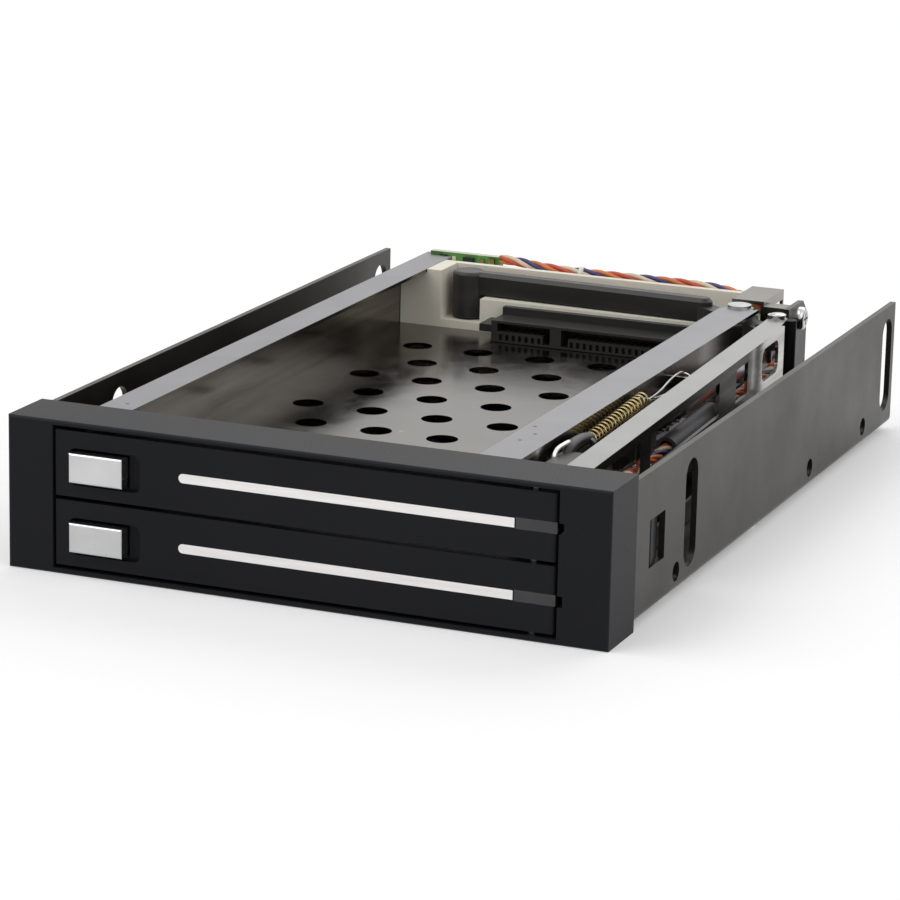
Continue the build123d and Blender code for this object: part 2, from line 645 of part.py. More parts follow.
def side_rail(deck):
    """The windowed channel outside the ejector link, built straight and then turned."""
    height = deck.top - deck.floor
    web_end = SIDE_RAIL_LENGTH - SIDE_RAIL_POINT
    web = slab((-DECK_SHEET, 0), (0, web_end), (0, height))
    for low, high in SIDE_WINDOWS:
        web -= slab((-THROUGH, THROUGH), (low, high), (WINDOW_LOW, WINDOW_HIGH))
    low, high = ROUND_WINDOW
    opening = Pos((low + high) / 2, (WINDOW_LOW + WINDOW_HIGH) / 2) * RectangleRounded(
        high - low, WINDOW_HIGH - WINDOW_LOW, WINDOW_CORNER
    )
    side = Plane(origin=(-THROUGH, 0, 0), x_dir=(0, 1, 0), z_dir=(1, 0, 0))
    web -= extrude(side * opening, 2 * THROUGH)
    flange = (
        (-SIDE_RAIL_FLANGE, 0),
        (0, 0),
        (0, web_end),
        (-DECK_SHEET, web_end),
        (2 * RAIL_SCREW_RADIUS - SIDE_RAIL_FLANGE, SIDE_RAIL_LENGTH),
        (-SIDE_RAIL_FLANGE, SIDE_RAIL_LENGTH),
    )
    rail = web + plate(flange, height - DECK_SHEET, height)
    rail += slab((-SIDE_RAIL_FOOT, 0), (0, web_end), (0, DECK_SHEET))
    stop_x = (-SIDE_RAIL_FLANGE, SPRING_STOP_WIDTH - SIDE_RAIL_FLANGE)
    rail += slab(stop_x, (SPRING_STOP, SPRING_STOP + DECK_SHEET), (SPRING_STOP_LOW, height))
    return Pos(SIDE_RAIL_FRONT_X, DECK_FRONT, deck.floor) * Rot(0, 0, SIDE_RAIL_TURN) * rail


def deck_rivets():
    """Rivet heads on the ears that join the decks, and the screw head on the side rail's tip."""
    heads = []
    above = (UPPER_FLOOR + DECK_SHEET, UPPER_FLOOR + DECK_SHEET + RIVET_HEAD)
    below = (LOWER_TOP - DECK_SHEET - RIVET_HEAD, LOWER_TOP - DECK_SHEET)
    for span in EAR_SPANS:
        left = (RAIL_LEFT - EAR_REACH / 2, sum(span) / 2)
        heads.append(rod("Z", left, above, RIVET_RADIUS))
        heads.append(rod("Z", left, below, RIVET_RADIUS))
        right = (GUIDE_RIGHT + EAR_INNER / 2, sum(span) / 2)
        heads.append(rod("Z", right, above, RIVET_RADIUS - RIVET_HEAD / 2))
    slope = math.tan(math.radians(SIDE_RAIL_TURN))
    tip = SIDE_RAIL_FRONT_X - slope * SIDE_RAIL_LENGTH - SIDE_RAIL_FLANGE + RAIL_SCREW_RADIUS
    at = (tip, CHANNEL_END - RAIL_SCREW_INSET)
    heads.append(rod("Z", at, (UPPER_TOP, UPPER_TOP + RAIL_SCREW_HEAD), RAIL_SCREW_RADIUS))
    return Compound(heads)


def door_outline():
    """The door seen from above. Its right end is a cam that pushes the link as it opens."""
    start = (DOOR_RIGHT - DOOR_CORNER, DOOR_FACE)
    corner_end = (DOOR_RIGHT, DOOR_FACE + DOOR_CORNER)
    cam = []
    for step in range(CAM_STEPS + 1):
        share = step / CAM_STEPS
        radius = CAM_HIGH - LINK_TRAVEL * share
        angle = math.radians(DOOR_SWING * share)
        cam.append((HINGE_X + radius * math.cos(angle), HINGE_Y + radius * math.sin(angle)))
    outline = [
        Line((DOOR_LEFT, DOOR_FACE), start),
        RadiusArc(start, corner_end, -DOOR_CORNER),
        Line(corner_end, cam[0]),
        Spline(*cam),
        Line(cam[-1], (DOOR_LEFT, DOOR_REAR)),
        Line((DOOR_LEFT, DOOR_REAR), (DOOR_LEFT, DOOR_FACE)),
    ]
    return make_face(Wire(outline))


def door_panel(deck):
    """The moulded door: button pocket, trim groove, light groove, ribs behind."""
    low, high = about(deck.door_middle, DOOR_HEIGHT)
    door = Pos(0, 0, low) * extrude(door_outline(), DOOR_HEIGHT)
    pocket = Pos(sum(POCKET_X) / 2, deck.button_middle) * RectangleRounded(
        POCKET_X[1] - POCKET_X[0], POCKET_HEIGHT, POCKET_CORNER
    )
    front = Plane(origin=(0, DOOR_FACE + POCKET_DEPTH, 0), x_dir=(1, 0, 0), z_dir=(0, -1, 0))
    door -= extrude(front * pocket, 2 * POCKET_DEPTH)
    way_x = (BUTTON_X[0] - BUTTON_CLEARANCE, BUTTON_X[1] + BUTTON_CLEARANCE)
    way_z = about(deck.button_middle, BUTTON_HEIGHT + 2 * BUTTON_CLEARANCE)
    door -= slab(way_x, (DOOR_FACE - THROUGH, DOOR_REAR + THROUGH), way_z)
    door -= trim_strip(deck, DOOR_FACE - THROUGH)
    door -= light_pipe(deck, DOOR_FACE - THROUGH)
    first = DOOR_LEFT + FIRST_RIB
    pitch = (HINGE_X - CAM_HIGH - PILLAR_WALL - first) / DOOR_POCKETS
    for index in range(DOOR_POCKETS):
        left = first + index * pitch
        door -= slab(
            (left, left + pitch - PILLAR_WALL),
            (DOOR_FACE + DOOR_SKIN, DOOR_REAR + THROUGH),
            (low + PILLAR_WALL, high - PILLAR_WALL),
        )
    bore = HINGE_PIN_RADIUS + RUNNING_CLEARANCE
    return door - rod("Z", (HINGE_X, HINGE_Y), (low - THROUGH, high + THROUGH), bore)


def trim_strip(deck, face=DOOR_FACE):
    """The thin silver line, with a round left end."""
    back = DOOR_FACE + TRIM_DEPTH
    z = about(deck.door_middle, TRIM_HEIGHT)
    round_x = TRIM_X[0] + TRIM_HEIGHT / 2
    strip = slab((round_x, TRIM_X[1]), (face, back), z)
    return strip + rod("Y", (round_x, deck.door_middle), (face, back), TRIM_HEIGHT / 2)


def light_pipe(deck, face=DOOR_FACE):
    """The smoky insert that the lamp shines into from the right."""
    z = about(deck.door_middle, PIPE_HEIGHT)
    return slab((PIPE_LEFT, DOOR_RIGHT), (face, DOOR_FACE + PIPE_DEPTH), z)


def button_cap(deck):
    """The chrome push button, with soft front edges."""
    front = DOOR_FACE - BUTTON_PROUD
    cap = slab(BUTTON_X, (front, front + BUTTON_DEPTH), about(deck.button_middle, BUTTON_HEIGHT))
    return fillet(cap.edges().group_by(Axis.Y)[0], BUTTON_EDGE)


def button_stem(deck):
    """The slider behind the cap: a shoulder, and a hook that reaches back to the keeper."""
    cap_rear = DOOR_FACE - BUTTON_PROUD + BUTTON_DEPTH
    middle = sum(BUTTON_X) / 2
    stem_z = about(deck.button_middle, STEM_HEIGHT)
    stem = slab(about(middle, STEM_WIDTH), (cap_rear, SHOULDER_REAR), stem_z)
    stem += slab(
        (BUTTON_X[0] - SHOULDER_MARGIN, BUTTON_X[1] + SHOULDER_MARGIN),
        (DOOR_REAR + SEAT_CLEARANCE, SHOULDER_REAR),
        about(deck.button_middle, BUTTON_HEIGHT + 2 * SHOULDER_MARGIN),
    )
    end = SHOULDER_REAR + HOOK_LENGTH
    z = about(deck.button_middle, HOOK_HEIGHT)
    hook = (
        (HOOK_X[0], SHOULDER_REAR),
        (HOOK_X[1], SHOULDER_REAR),
        (HOOK_X[1], end),
        (HOOK_X[0], end + HOOK_POINT),
    )
    return stem + plate(hook, z[0], z[1])


def button_spring(deck):
    rear = LATCH_COVER_REAR - LATCH_WALL - SEAT_CLEARANCE
    front = SHOULDER_REAR + SEAT_CLEARANCE
    at = (sum(HOOK_X) / 2, deck.button_middle)
    return ribbed_spring(*at, (front, rear), BUTTON_SPRING_RADIUS, BUTTON_SPRING_TURNS)


def latch_cover(deck):
    """The housing behind the door that keeps the slider and its spring."""
    x = (BUTTON_X[0] - LATCH_MARGIN, BUTTON_X[1] + LATCH_MARGIN)
    rear = LATCH_COVER_REAR
    z = about(deck.button_middle, BUTTON_HEIGHT + 2 * (LATCH_MARGIN - SEAT_CLEARANCE))
    cover = slab(x, (DOOR_REAR, rear), z)
    inside_x = (x[0] + LATCH_WALL, x[1] - LATCH_WALL)
    inside_z = (z[0] + LATCH_WALL, z[1] - LATCH_WALL)
    cover -= slab(inside_x, (DOOR_REAR - THROUGH, rear - LATCH_WALL), inside_z)
    hook_way = about(sum(HOOK_X) / 2, HOOK_WIDTH + 2 * HOOK_CLEARANCE)
    hook_z = about(deck.button_middle, HOOK_HEIGHT + 2 * HOOK_CLEARANCE)
    return cover - slab(hook_way, (DOOR_REAR, rear + THROUGH), hook_z)


def latch_keeper(deck):
    """The black catch at the front left of a deck, beside the slider's hook."""
    x = (RAIL_LEFT + DECK_SHEET, HOOK_X[0] - KEEPER_GAP)
    front = DECK_FRONT + 2 * SEAT_CLEARANCE
    y = (front, front + KEEPER_DEPTH)
    z = (deck.floor, min(deck.top - DECK_SHEET, deck.floor + KEEPER_HEIGHT))
    catch_x = (x[1], HOOK_X[0] - LINK_GAP)
    catch_z = about(deck.button_middle, CATCH_HEIGHT)
    return slab(x, y, z) + slab(catch_x, (y[1] - CATCH_DEPTH, y[1]), catch_z)


def kick_springs():
    """The small brass springs that start a released door."""
    y = (LATCH_COVER_REAR + LINK_GAP, DECK_FRONT + 2 * SEAT_CLEARANCE)
    x = RAIL_LEFT + KICK_SPRING_INSET
    heights = [deck.button_middle + KICK_SPRING_RISE for deck in DECKS]
    return Compound([ribbed_spring(x, z, y, KICK_SPRING_RADIUS, KICK_SPRING_TURNS) for z in heights])


def link_head(deck):
    """The moulded front of the link: a nose behind the cam and a body in the channel."""
    tip = DOOR_REAR + CAM_GAP + NOSE_RADIUS
    length = HEAD_Y[0] + HEAD_CURVE - tip
    nose_plan = Pos(HINGE_X, tip) * Circle(NOSE_RADIUS)
    nose_plan += Pos(HINGE_X, tip + length / 2) * Rectangle(2 * NOSE_RADIUS, length)
    nose_z = raised(deck.floor, HEAD_NOSE_Z)
    nose = Pos(0, 0, nose_z[0]) * extrude(nose_plan, nose_z[1] - nose_z[0])
    body_x = (GUIDE_RIGHT + HEAD_INSET, HINGE_X + NOSE_RADIUS + 2 * SEAT_CLEARANCE)
    body = slab(body_x, HEAD_Y, raised(deck.floor, (LINK_LOW, HEAD_HIGH)))
    top = body.edges().filter_by(Axis.X).group_by(Axis.Z)[-1]
    head = nose + fillet(top, HEAD_CURVE)
    bar_y = (HEAD_Y[1] - BAR_OVERLAP, HEAD_Y[1] + THROUGH)
    head -= slab(BAR_X, bar_y, raised(deck.floor, (LINK_LOW - THROUGH, LINK_HIGH)))
    height = deck.floor + RETURN_SPRING_RISE
    seat_y = (RETURN_SPRING_Y[0] - THROUGH, RETURN_SPRING_Y[0])
    neck_y = (HEAD_Y[1] - HEAD_CURVE - THROUGH, seat_y[0])
    neck = slab(about(RETURN_SPRING_X, NECK_SIZE), neck_y, about(height, NECK_SIZE))
    return head + neck + rod("Y", (RETURN_SPRING_X, height), seat_y, RETURN_SPRING_RADIUS - SPRING_WIRE)


def link_bar(deck):
    """The steel bar from the head to the pin that turns the arm."""
    z = raised(deck.floor, (LINK_LOW, LINK_HIGH))
    at = (PIVOT_X + CRANK_X, PIVOT_Y - CRANK_Y)
    bar = slab(BAR_X, (HEAD_Y[1] - BAR_OVERLAP, at[1]), z)
    bar += rod("Z", at, z, BAR_END_RADIUS)
    return bar + rod("Z", at, (z[1], deck.floor + HUB_HIGH - SEAT_CLEARANCE), LINK_PIN_RADIUS)


def link_shoe(deck):
    """The black block on the bar that bears on the steel spring."""
    right = BAR_X[1] + SHOE_WIDTH
    bar_z = raised(deck.floor, (LINK_LOW, LINK_HIGH))
    shoe = slab((BAR_X[1], BAR_X[1] + SHOE_FOOT), SHOE_Y, bar_z)
    shoe += slab((BAR_X[1], right), SHOE_Y, (bar_z[1], bar_z[1] + SHOE_STEP))
    return shoe + slab((right - SHOE_WALL, right), SHOE_Y, (bar_z[1], deck.floor + SHOE_HIGH))


def return_spring(deck):
    """The brass coil above the bar, hooked to a tongue of the guide rail."""
    at = (RETURN_SPRING_X, deck.floor + RETURN_SPRING_RISE)
    rear = RETURN_SPRING_Y[1]
    coil = ribbed_spring(*at, RETURN_SPRING_Y, RETURN_SPRING_RADIUS, RETURN_SPRING_TURNS)
    coil += rod("Y", at, (rear - SPRING_WIRE, rear), RETURN_SPRING_RADIUS - SPRING_WIRE)
    end = SPRING_ANCHOR_Y - DECK_SHEET / 2 - LINK_GAP
    return coil + rod("Y", at, (rear - SPRING_WIRE, end), SPRING_WIRE)


def link_spring(deck):
    """The steel coil that pushes the link back to the door."""
    at = (GUIDE_RIGHT + LINK_SPRING_INSET, deck.floor + LINK_SPRING_RISE)
    y = (SHOE_Y[1] + SEAT_CLEARANCE, DECK_FRONT + SPRING_STOP - LINK_GAP)
    return ribbed_spring(*at, y, LINK_SPRING_RADIUS, LINK_SPRING_TURNS)


def ejector_arm(deck):
    """The bell crank behind the drive: foot, crowned bar, hub and slotted crank."""
    top = deck.top - ARM_HEADROOM
    low = deck.floor + ARM_LOW
    foot_at = (FOOT_X, PIVOT_Y + FOOT_BEHIND)
    end_at = (PIVOT_X - ARM_END_INSET, PIVOT_Y + ARM_END_BEHIND)
    arm = Pos(0, 0, low) * extrude(strut(foot_at, end_at, ARM_WIDTH), top - low)
    arm = chamfer(arm.faces().sort_by(Axis.Z)[-1].edges(), ARM_CROWN)
    foot = rod("Z", foot_at, (deck.floor + FOOT_LOW, top), FOOT_RADIUS)
    arm += fillet(foot.edges().group_by(Axis.Z)[-1], ARM_CROWN)
    hub_z = raised(deck.floor, (HUB_LOW, HUB_HIGH))
    pivot = (PIVOT_X, PIVOT_Y)
    arm += Pos(0, 0, low) * extrude(strut(end_at, pivot, ARM_WIDTH), hub_z[1] - low)
    arm += rod("Z", pivot, hub_z, ARM_HUB)
    half_slot = LINK_PIN_RADIUS + LINK_GAP
    near = math.hypot(CRANK_X, CRANK_Y - LINK_TRAVEL) - LINK_GAP
    far = math.hypot(CRANK_X, CRANK_Y) + LINK_GAP
    place = Pos(*pivot, hub_z[0]) * Rot(0, 0, -math.degrees(CRANK_ANGLE))
    crank = strut((0, 0), (far, 0), 2 * (half_slot + CRANK_WALL))
    arm += place * extrude(crank, HUB_HIGH - HUB_LOW)
    slot = strut((near, 0), (far, 0), 2 * half_slot)
    arm -= place * Pos(0, 0, -THROUGH) * extrude(slot, HUB_HIGH - HUB_LOW + 2 * THROUGH)
    bore = PIVOT_RADIUS + RUNNING_CLEARANCE
    return arm - rod("Z", pivot, (hub_z[0] - THROUGH, hub_z[1] + THROUGH), bore)


def strut(start, end, width):
    """The plan of a bar with round ends between two points."""
    run = Vector(*end) - Vector(*start)
    middle = (Vector(*start) + Vector(*end)) / 2
    shape = SlotCenterToCenter(run.length, width)
    return Pos(middle.X, middle.Y) * Rot(0, 0, math.degrees(math.atan2(run.Y, run.X))) * shape


def ejector_pivot_pin():
    """One long rivet through both arms, from the lower deck to the upper flange."""
    pin = rod("Z", (PIVOT_X, PIVOT_Y), (LOWER_FLOOR, UPPER_TOP), PIVOT_RADIUS)
    return pin + rod("Z", (PIVOT_X, PIVOT_Y), (UPPER_TOP, UPPER_TOP + PIVOT_HEAD), PIVOT_HEAD_RADIUS)


def connector_bracket(deck):
    """The pale moulding at the rear: ledge and pocket for the foot, wall behind the arm."""
    left = RAIL_LEFT + DECK_SHEET + SEAT_CLEARANCE
    right = GUIDE_RIGHT - BRACKET_RIGHT_GAP
    top = deck.top if deck.flange_inward else deck.top - SEAT_CLEARANCE
    seat_top = deck.floor + ARM_LOW - LINK_GAP
    pocket_x = (FOOT_X - FOOT_RADIUS - FOOT_GAP_LEFT, FOOT_X + FOOT_RADIUS + FOOT_GAP_RIGHT)
    block = slab((left, right), (BRACKET_FRONT, BOARD_Y), (deck.floor, seat_top))
    block += slab((left, pocket_x[0]), (BRACKET_FRONT, BOARD_Y), (deck.floor, top))
    block += slab((left, GUIDE_RIGHT - BRACKET_TOP_RIGHT_GAP), (BRACKET_PANEL, BOARD_Y), (deck.floor, top))
    pocket_y = (BRACKET_FRONT - THROUGH, BRACKET_PANEL)
    block -= slab(pocket_x, pocket_y, (deck.floor + BRACKET_LEDGE, top + THROUGH))
    seat_x = (RECEPTACLE_X[0] + SEAT_MARGIN, RECEPTACLE_X[1] - SEAT_MARGIN)
    seat_y = (BRACKET_FRONT - THROUGH, BOARD_Y + THROUGH)
    block -= slab(seat_x, seat_y, raised(deck.floor, (RECEPTACLE_LOW, RECEPTACLE_BACK_HIGH)))
    if deck.flange_inward:
        shelf_y = (BRACKET_PANEL + PANEL_WALL, BOARD_Y + THROUGH)
        block -= slab((left - THROUGH, right), shelf_y, (top - WIRE_SHELF_DROP, top + THROUGH))
        block -= slab((WIRE_DIP_X, right), shelf_y, (top - WIRE_DIP_DROP, top + THROUGH))
        under_flange = (left - THROUGH, RAIL_LEFT + LEFT_FLANGE + SEAT_CLEARANCE)
        flange_y = (BRACKET_FRONT - THROUGH, BOARD_Y + THROUGH)
        block -= slab(under_flange, flange_y, (top - DECK_SHEET, top + THROUGH))
    return block


def contact_places():
    """X of each contact: the signal group, then the power group."""
    left = RECEPTACLE_X[0]
    signal = [left + FIRST_CONTACT + index * CONTACT_PITCH for index in range(SIGNAL_CONTACTS)]
    power = [left + POWER_FIRST_CONTACT + index * CONTACT_PITCH for index in range(POWER_CONTACTS)]
    return signal, power


def sata_receptacle(deck):
    """The black receptacle: two keyed slots, each over a tongue with a comb of contact ways."""
    low = deck.floor + RECEPTACLE_LOW
    front = RECEPTACLE_FRONT
    step = front + RECEPTACLE_STEP
    body = slab(RECEPTACLE_X, (front, step), (low, deck.floor + RECEPTACLE_HIGH))
    body += slab(RECEPTACLE_X, (step, BRACKET_FRONT), (low, deck.floor + RECEPTACLE_BACK_HIGH))
    seat_x = (RECEPTACLE_X[0] + SEAT_MARGIN, RECEPTACLE_X[1] - SEAT_MARGIN)
    body += slab(seat_x, (BRACKET_FRONT, BOARD_Y), (low, deck.floor + RECEPTACLE_BACK_HIGH))
    ear_y = (front + RECEPTACLE_EAR_FRONT, BRACKET_FRONT)
    ear_z = raised(deck.floor, RECEPTACLE_EAR_Z)
    body += slab((RECEPTACLE_X[0] - RECEPTACLE_EAR, RECEPTACLE_X[0]), ear_y, ear_z)
    slot_y = (front - THROUGH, front + SLOT_DEPTH)
    tongue_top = deck.floor + TONGUE_Z[1]
    high = deck.floor + SLOT_HIGH
    key_z = (deck.floor + COMB_LOW, high)
    signal, power = contact_places()
    signal_end = signal[-1] + TONGUE_MARGIN
    power_start = power[0] - TONGUE_MARGIN
    body -= slab((signal[0] - TONGUE_MARGIN, signal_end), slot_y, (tongue_top, high))
    body -= slab((signal_end, signal_end + KEY_WIDTH), slot_y, key_z)
    body -= slab((power_start, power[-1] + TONGUE_MARGIN), slot_y, (tongue_top, high))
    body -= slab((power_start - KEY_WIDTH, power_start), slot_y, key_z)
    comb_y = (front - THROUGH, front + COMB_DEPTH)
    comb_z = raised(deck.floor, (COMB_LOW, TONGUE_Z[0]))
    groove_y = (front + GROOVE_FRONT, front + SLOT_DEPTH)
    groove_z = (tongue_top - GROOVE_DEPTH, tongue_top + THROUGH / 2)
    ways = [slab(about(x, COMB_SLIT), comb_y, comb_z) for x in signal + power]
    ways += [slab(about(x, GROOVE_WIDTH), groove_y, groove_z) for x in signal + power]
    return body - ways


def receptacle_contacts():
    """The contact blades, which lie in the grooves of both receptacles' tongues."""
    signal, power = contact_places()
    y = (RECEPTACLE_FRONT + GROOVE_FRONT, RECEPTACLE_FRONT + SLOT_DEPTH)
    blades = []
    for deck in DECKS:
        low = deck.floor + TONGUE_Z[1] - GROOVE_DEPTH
        blades += [slab(about(x, GROOVE_WIDTH), y, (low, low + CONTACT_THICKNESS)) for x in signal + power]
    return Compound(blades)


def backplane_board():
    """The board behind both brackets. Its top steps down where the lamp wires leave."""
    board = slab(BOARD_X, (BOARD_Y, BOARD_REAR), (BOARD_LOW, BOARD_STEP_HIGH))
    return board + slab((BOARD_X[0], BOARD_STEP_X), (BOARD_Y, BOARD_REAR), (BOARD_STEP_HIGH, BOARD_HIGH))


def plug_shell(left, middle_z, size):
    """A plug on the back of the board: a shell round a tongue."""
    x = (left, left + size[0])
    z = about(middle_z, size[1])
    rear = BOARD_REAR + PLUG_PROUD
    inside_x = (x[0] + PLUG_WALL, x[1] - PLUG_WALL)
    shell = slab(x, (BOARD_REAR, rear), z)
    inside_z = about(middle_z, size[1] - 2 * PLUG_WALL)
    shell -= slab(inside_x, (BOARD_REAR + PLUG_WALL, rear + THROUGH), inside_z)
    tongue_x = (inside_x[0] + PLUG_WALL, inside_x[1] - PLUG_WALL)
    return shell + slab(tongue_x, (BOARD_REAR, rear - PLUG_WALL), about(middle_z, PLUG_TONGUE))


def data_plugs():
    left = RAIL_LEFT + DATA_PLUG_INSET
    return Compound([plug_shell(left, z, DATA_PLUG_SIZE) for z in DATA_PLUG_Z])


def power_plug():
    return plug_shell(RAIL_LEFT + POWER_PLUG_INSET, POWER_PLUG_Z, POWER_PLUG_SIZE)


def rear_corner_bracket():
    """The small folded bracket that ties the upper deck to the chassis tab."""
    top = slab(CORNER_X, CORNER_Y, (CORNER_TOP - DECK_SHEET, CORNER_TOP))
    wall = (CORNER_X[1] - DECK_SHEET, CORNER_X[1])
    bracket = top + slab(wall, CORNER_Y, (UPPER_FLOOR, CORNER_TOP))
    window_y = raised(CHANNEL_END, CORNER_WINDOW_Y)
    bracket -= slab((wall[0] - THROUGH, wall[1] + THROUGH), window_y, CORNER_WINDOW_Z)
    return bracket + slab((wall[1], TAB_LEFT), about(SCREW_Y, LUG_SIZE), about(SCREW_Z, LUG_SIZE))


def lamp_board():
    x = (LAMP_BOARD_X, LAMP_BOARD_X + LAMP_BOARD_THICKNESS)
    return slab(x, (PILLAR_FACE + 2 * SEAT_CLEARANCE, BEZEL_DEPTH), LAMP_BOARD_Z)


def lamps():
    """Two lamps that point left into the light inserts."""
    x = (OPENING_RIGHT + PILLAR_WALL + LINK_GAP, LAMP_BOARD_X)
    places = [(PILLAR_FACE + LAMP_SETBACK, deck.door_middle) for deck in DECKS]
    return Compound([rod("X", at, x, LAMP_RADIUS) for at in places])


def rail_inner(y):
    """X of the side rail's inner face at this distance from the bezel's front."""
    slope = math.tan(math.radians(SIDE_RAIL_TURN))
    return SIDE_RAIL_FRONT_X - DECK_SHEET - slope * (y - DECK_FRONT)


def sleeve_height():
    return UPPER_FLOOR + DECK_SHEET + SLEEVE_RADIUS + SEAT_CLEARANCE


def lamp_harness():
    """The bundle of wires from the board along the pale moulding and the channel to the lamps."""
    beside = SLEEVE_RADIUS + 2 * SEAT_CLEARANCE
    sleeve_z = sleeve_height()
    over = UPPER_TOP
    low_z = UPPER_FLOOR + 1.6
    route = [
        (BOARD_STEP_X, 148.8, over + 0.25),
        (-22.4, 148.4, over + 0.2),
        (-17.5, 146.5, over + 0.03),
        (-10.5, 145.7, over),
        (-2.5, 145.5, over + 0.01),
        (6.0, 145.7, over),
        (13.5, 145.5, over + 0.02),
        (19.0, 145.5, 24.0),
        (24.6, 145.0, 22.9),
        (29.0, 144.2, 20.9),
        (32.2, 141.6, 18.6),
        (33.7, 137.2, 16.6),
        (34.2, 131.0, low_z + 0.15),
        (rail_inner(123.5) - 2.4, 123.5, low_z),
        (rail_inner(107.0) - beside, 107.0, low_z + 0.5),
        (rail_inner(91.0) - beside, 91.0, sleeve_z),
        (rail_inner(73.0) - beside + 0.02, 73.0, sleeve_z),
        (rail_inner(55.0) - beside, 55.0, sleeve_z),
        (rail_inner(41.0) - 1.6, 41.0, sleeve_z + 0.5),
        (rail_inner(30.0) + 0.4, 30.0, sleeve_z + 3.0),
        (44.8, 21.0, sleeve_z + 3.4),
        (45.5, 15.0, sleeve_z + 2.6),
        (LAMP_BOARD_X - HARNESS_RADIUS, 9.9, sleeve_z + 2.0),
    ]
    vectors = [Vector(*point) for point in route]
    radii = []
    for before, here, after in zip(vectors, vectors[1:], vectors[2:]):
        run = min((here - before).length, (after - here).length)
        turn = math.radians((here - before).get_angle(after - here))
        radii.append(BEND_SHARE * run / math.tan(turn / 2))
    path = FilletPolyline(*route, radius=radii)
    start = Plane(origin=path @ 0, z_dir=path % 0)
    return sweep(start * Circle(HARNESS_RADIUS), path=path)


def harness_sleeve():
    """The grey tube round the wires inside the channel."""
    middle = sum(SLEEVE_Y) / 2
    x = rail_inner(middle) - SLEEVE_RADIUS - 2 * SEAT_CLEARANCE
    length = SLEEVE_Y[1] - SLEEVE_Y[0]
    tube = Cylinder(SLEEVE_RADIUS, length) - Cylinder(SLEEVE_RADIUS - SLEEVE_WALL, length + THROUGH)
    return Pos(x, middle, sleeve_height()) * Rot(0, 0, SIDE_RAIL_TURN) * Rot(90, 0, 0) * tube


def all_pieces():
    """Every piece by the name of its file."""
    shared = (
        chassis_shell,
        chassis_rear_tab,
        tab_screw,
        rail_post,
        front_bezel,
        door_hinge_pin,
        deck_rivets,
        kick_springs,
        ejector_pivot_pin,
        receptacle_contacts,
        backplane_board,
        data_plugs,
        power_plug,
        rear_corner_bracket,
        lamp_board,
        lamps,
        lamp_harness,
        harness_sleeve,
    )
    per_deck = (
        deck_plate,
        left_rail,
        guide_rail,
        side_rail,
        door_panel,
        trim_strip,
        light_pipe,
        button_cap,
        button_stem,
        button_spring,
        latch_cover,
        latch_keeper,
        link_head,
        link_bar,
        link_shoe,
        return_spring,
        link_spring,
        ejector_arm,
        connector_bracket,
        sata_receptacle,
    )
    pieces = {make.__name__: make() for make in shared}
    for deck in DECKS:
        pieces.update({deck.name + "_" + make.__name__: make(deck) for make in per_deck})
    return pieces


os.makedirs("parts", exist_ok=True)
for name, piece in all_pieces().items():
    export_step(Pos(0, ORIGIN_SHIFT, 0) * piece, os.path.join("parts", name + ".step"))
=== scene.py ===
import json
import math

import bpy
from mathutils import Matrix, Vector


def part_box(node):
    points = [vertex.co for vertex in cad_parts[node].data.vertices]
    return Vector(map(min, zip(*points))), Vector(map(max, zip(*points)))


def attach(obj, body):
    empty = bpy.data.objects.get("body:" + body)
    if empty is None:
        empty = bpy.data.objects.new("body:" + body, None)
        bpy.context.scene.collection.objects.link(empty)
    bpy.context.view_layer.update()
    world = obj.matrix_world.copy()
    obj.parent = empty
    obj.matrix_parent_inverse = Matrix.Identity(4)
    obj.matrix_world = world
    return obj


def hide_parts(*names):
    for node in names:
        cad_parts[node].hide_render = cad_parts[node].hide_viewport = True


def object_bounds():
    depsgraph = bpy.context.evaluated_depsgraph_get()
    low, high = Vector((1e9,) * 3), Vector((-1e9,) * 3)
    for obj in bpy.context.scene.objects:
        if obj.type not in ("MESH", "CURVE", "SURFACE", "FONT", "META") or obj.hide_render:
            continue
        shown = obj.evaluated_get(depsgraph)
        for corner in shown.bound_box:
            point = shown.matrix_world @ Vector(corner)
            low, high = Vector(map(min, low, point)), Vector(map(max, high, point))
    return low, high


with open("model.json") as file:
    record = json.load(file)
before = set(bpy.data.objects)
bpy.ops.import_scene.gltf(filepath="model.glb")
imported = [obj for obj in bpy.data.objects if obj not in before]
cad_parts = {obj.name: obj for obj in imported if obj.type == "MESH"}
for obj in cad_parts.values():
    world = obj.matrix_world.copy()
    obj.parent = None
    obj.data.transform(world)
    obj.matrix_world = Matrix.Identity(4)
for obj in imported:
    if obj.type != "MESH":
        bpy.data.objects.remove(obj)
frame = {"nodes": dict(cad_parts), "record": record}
CAD_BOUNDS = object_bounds()
NODES = frame["nodes"]
MM = 0.001

# Sizes in millimetres, with Y measured from the bezel's front face towards the rear
BEZEL_FRONT_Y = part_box("front_bezel")[0].y / MM
DECK_TOPS = {"upper": 24.2, "lower": 12.8}
GUIDE_X = 30.7

# Smooth curves and edge roundings
CURVE_STEPS = 12
CURVE_ORDER = 3
TUBE_STEP = 0.5
ROUND_SIDES = 16
MOULDED_EDGE = 0.18
BLACK_EDGE = 0.3
DECK_EDGE = 0.22
SHEET_EDGE = 0.1
EDGE_ANGLE = 40

# Places of the colour sockets on a mix node
MIX_FIRST = 6
MIX_SECOND = 7
MIX_RESULT = 2

# The four twisted wires and their tie
WIRE_RADIUS = 0.41
WIRE_OFFSET = 0.52
WIRE_TWIST = 13.0
WIRE_STEP = 0.8
WIRE_PHASE = 0.6
TIE_X = -8.3
TIE_RADIUS = 1.15

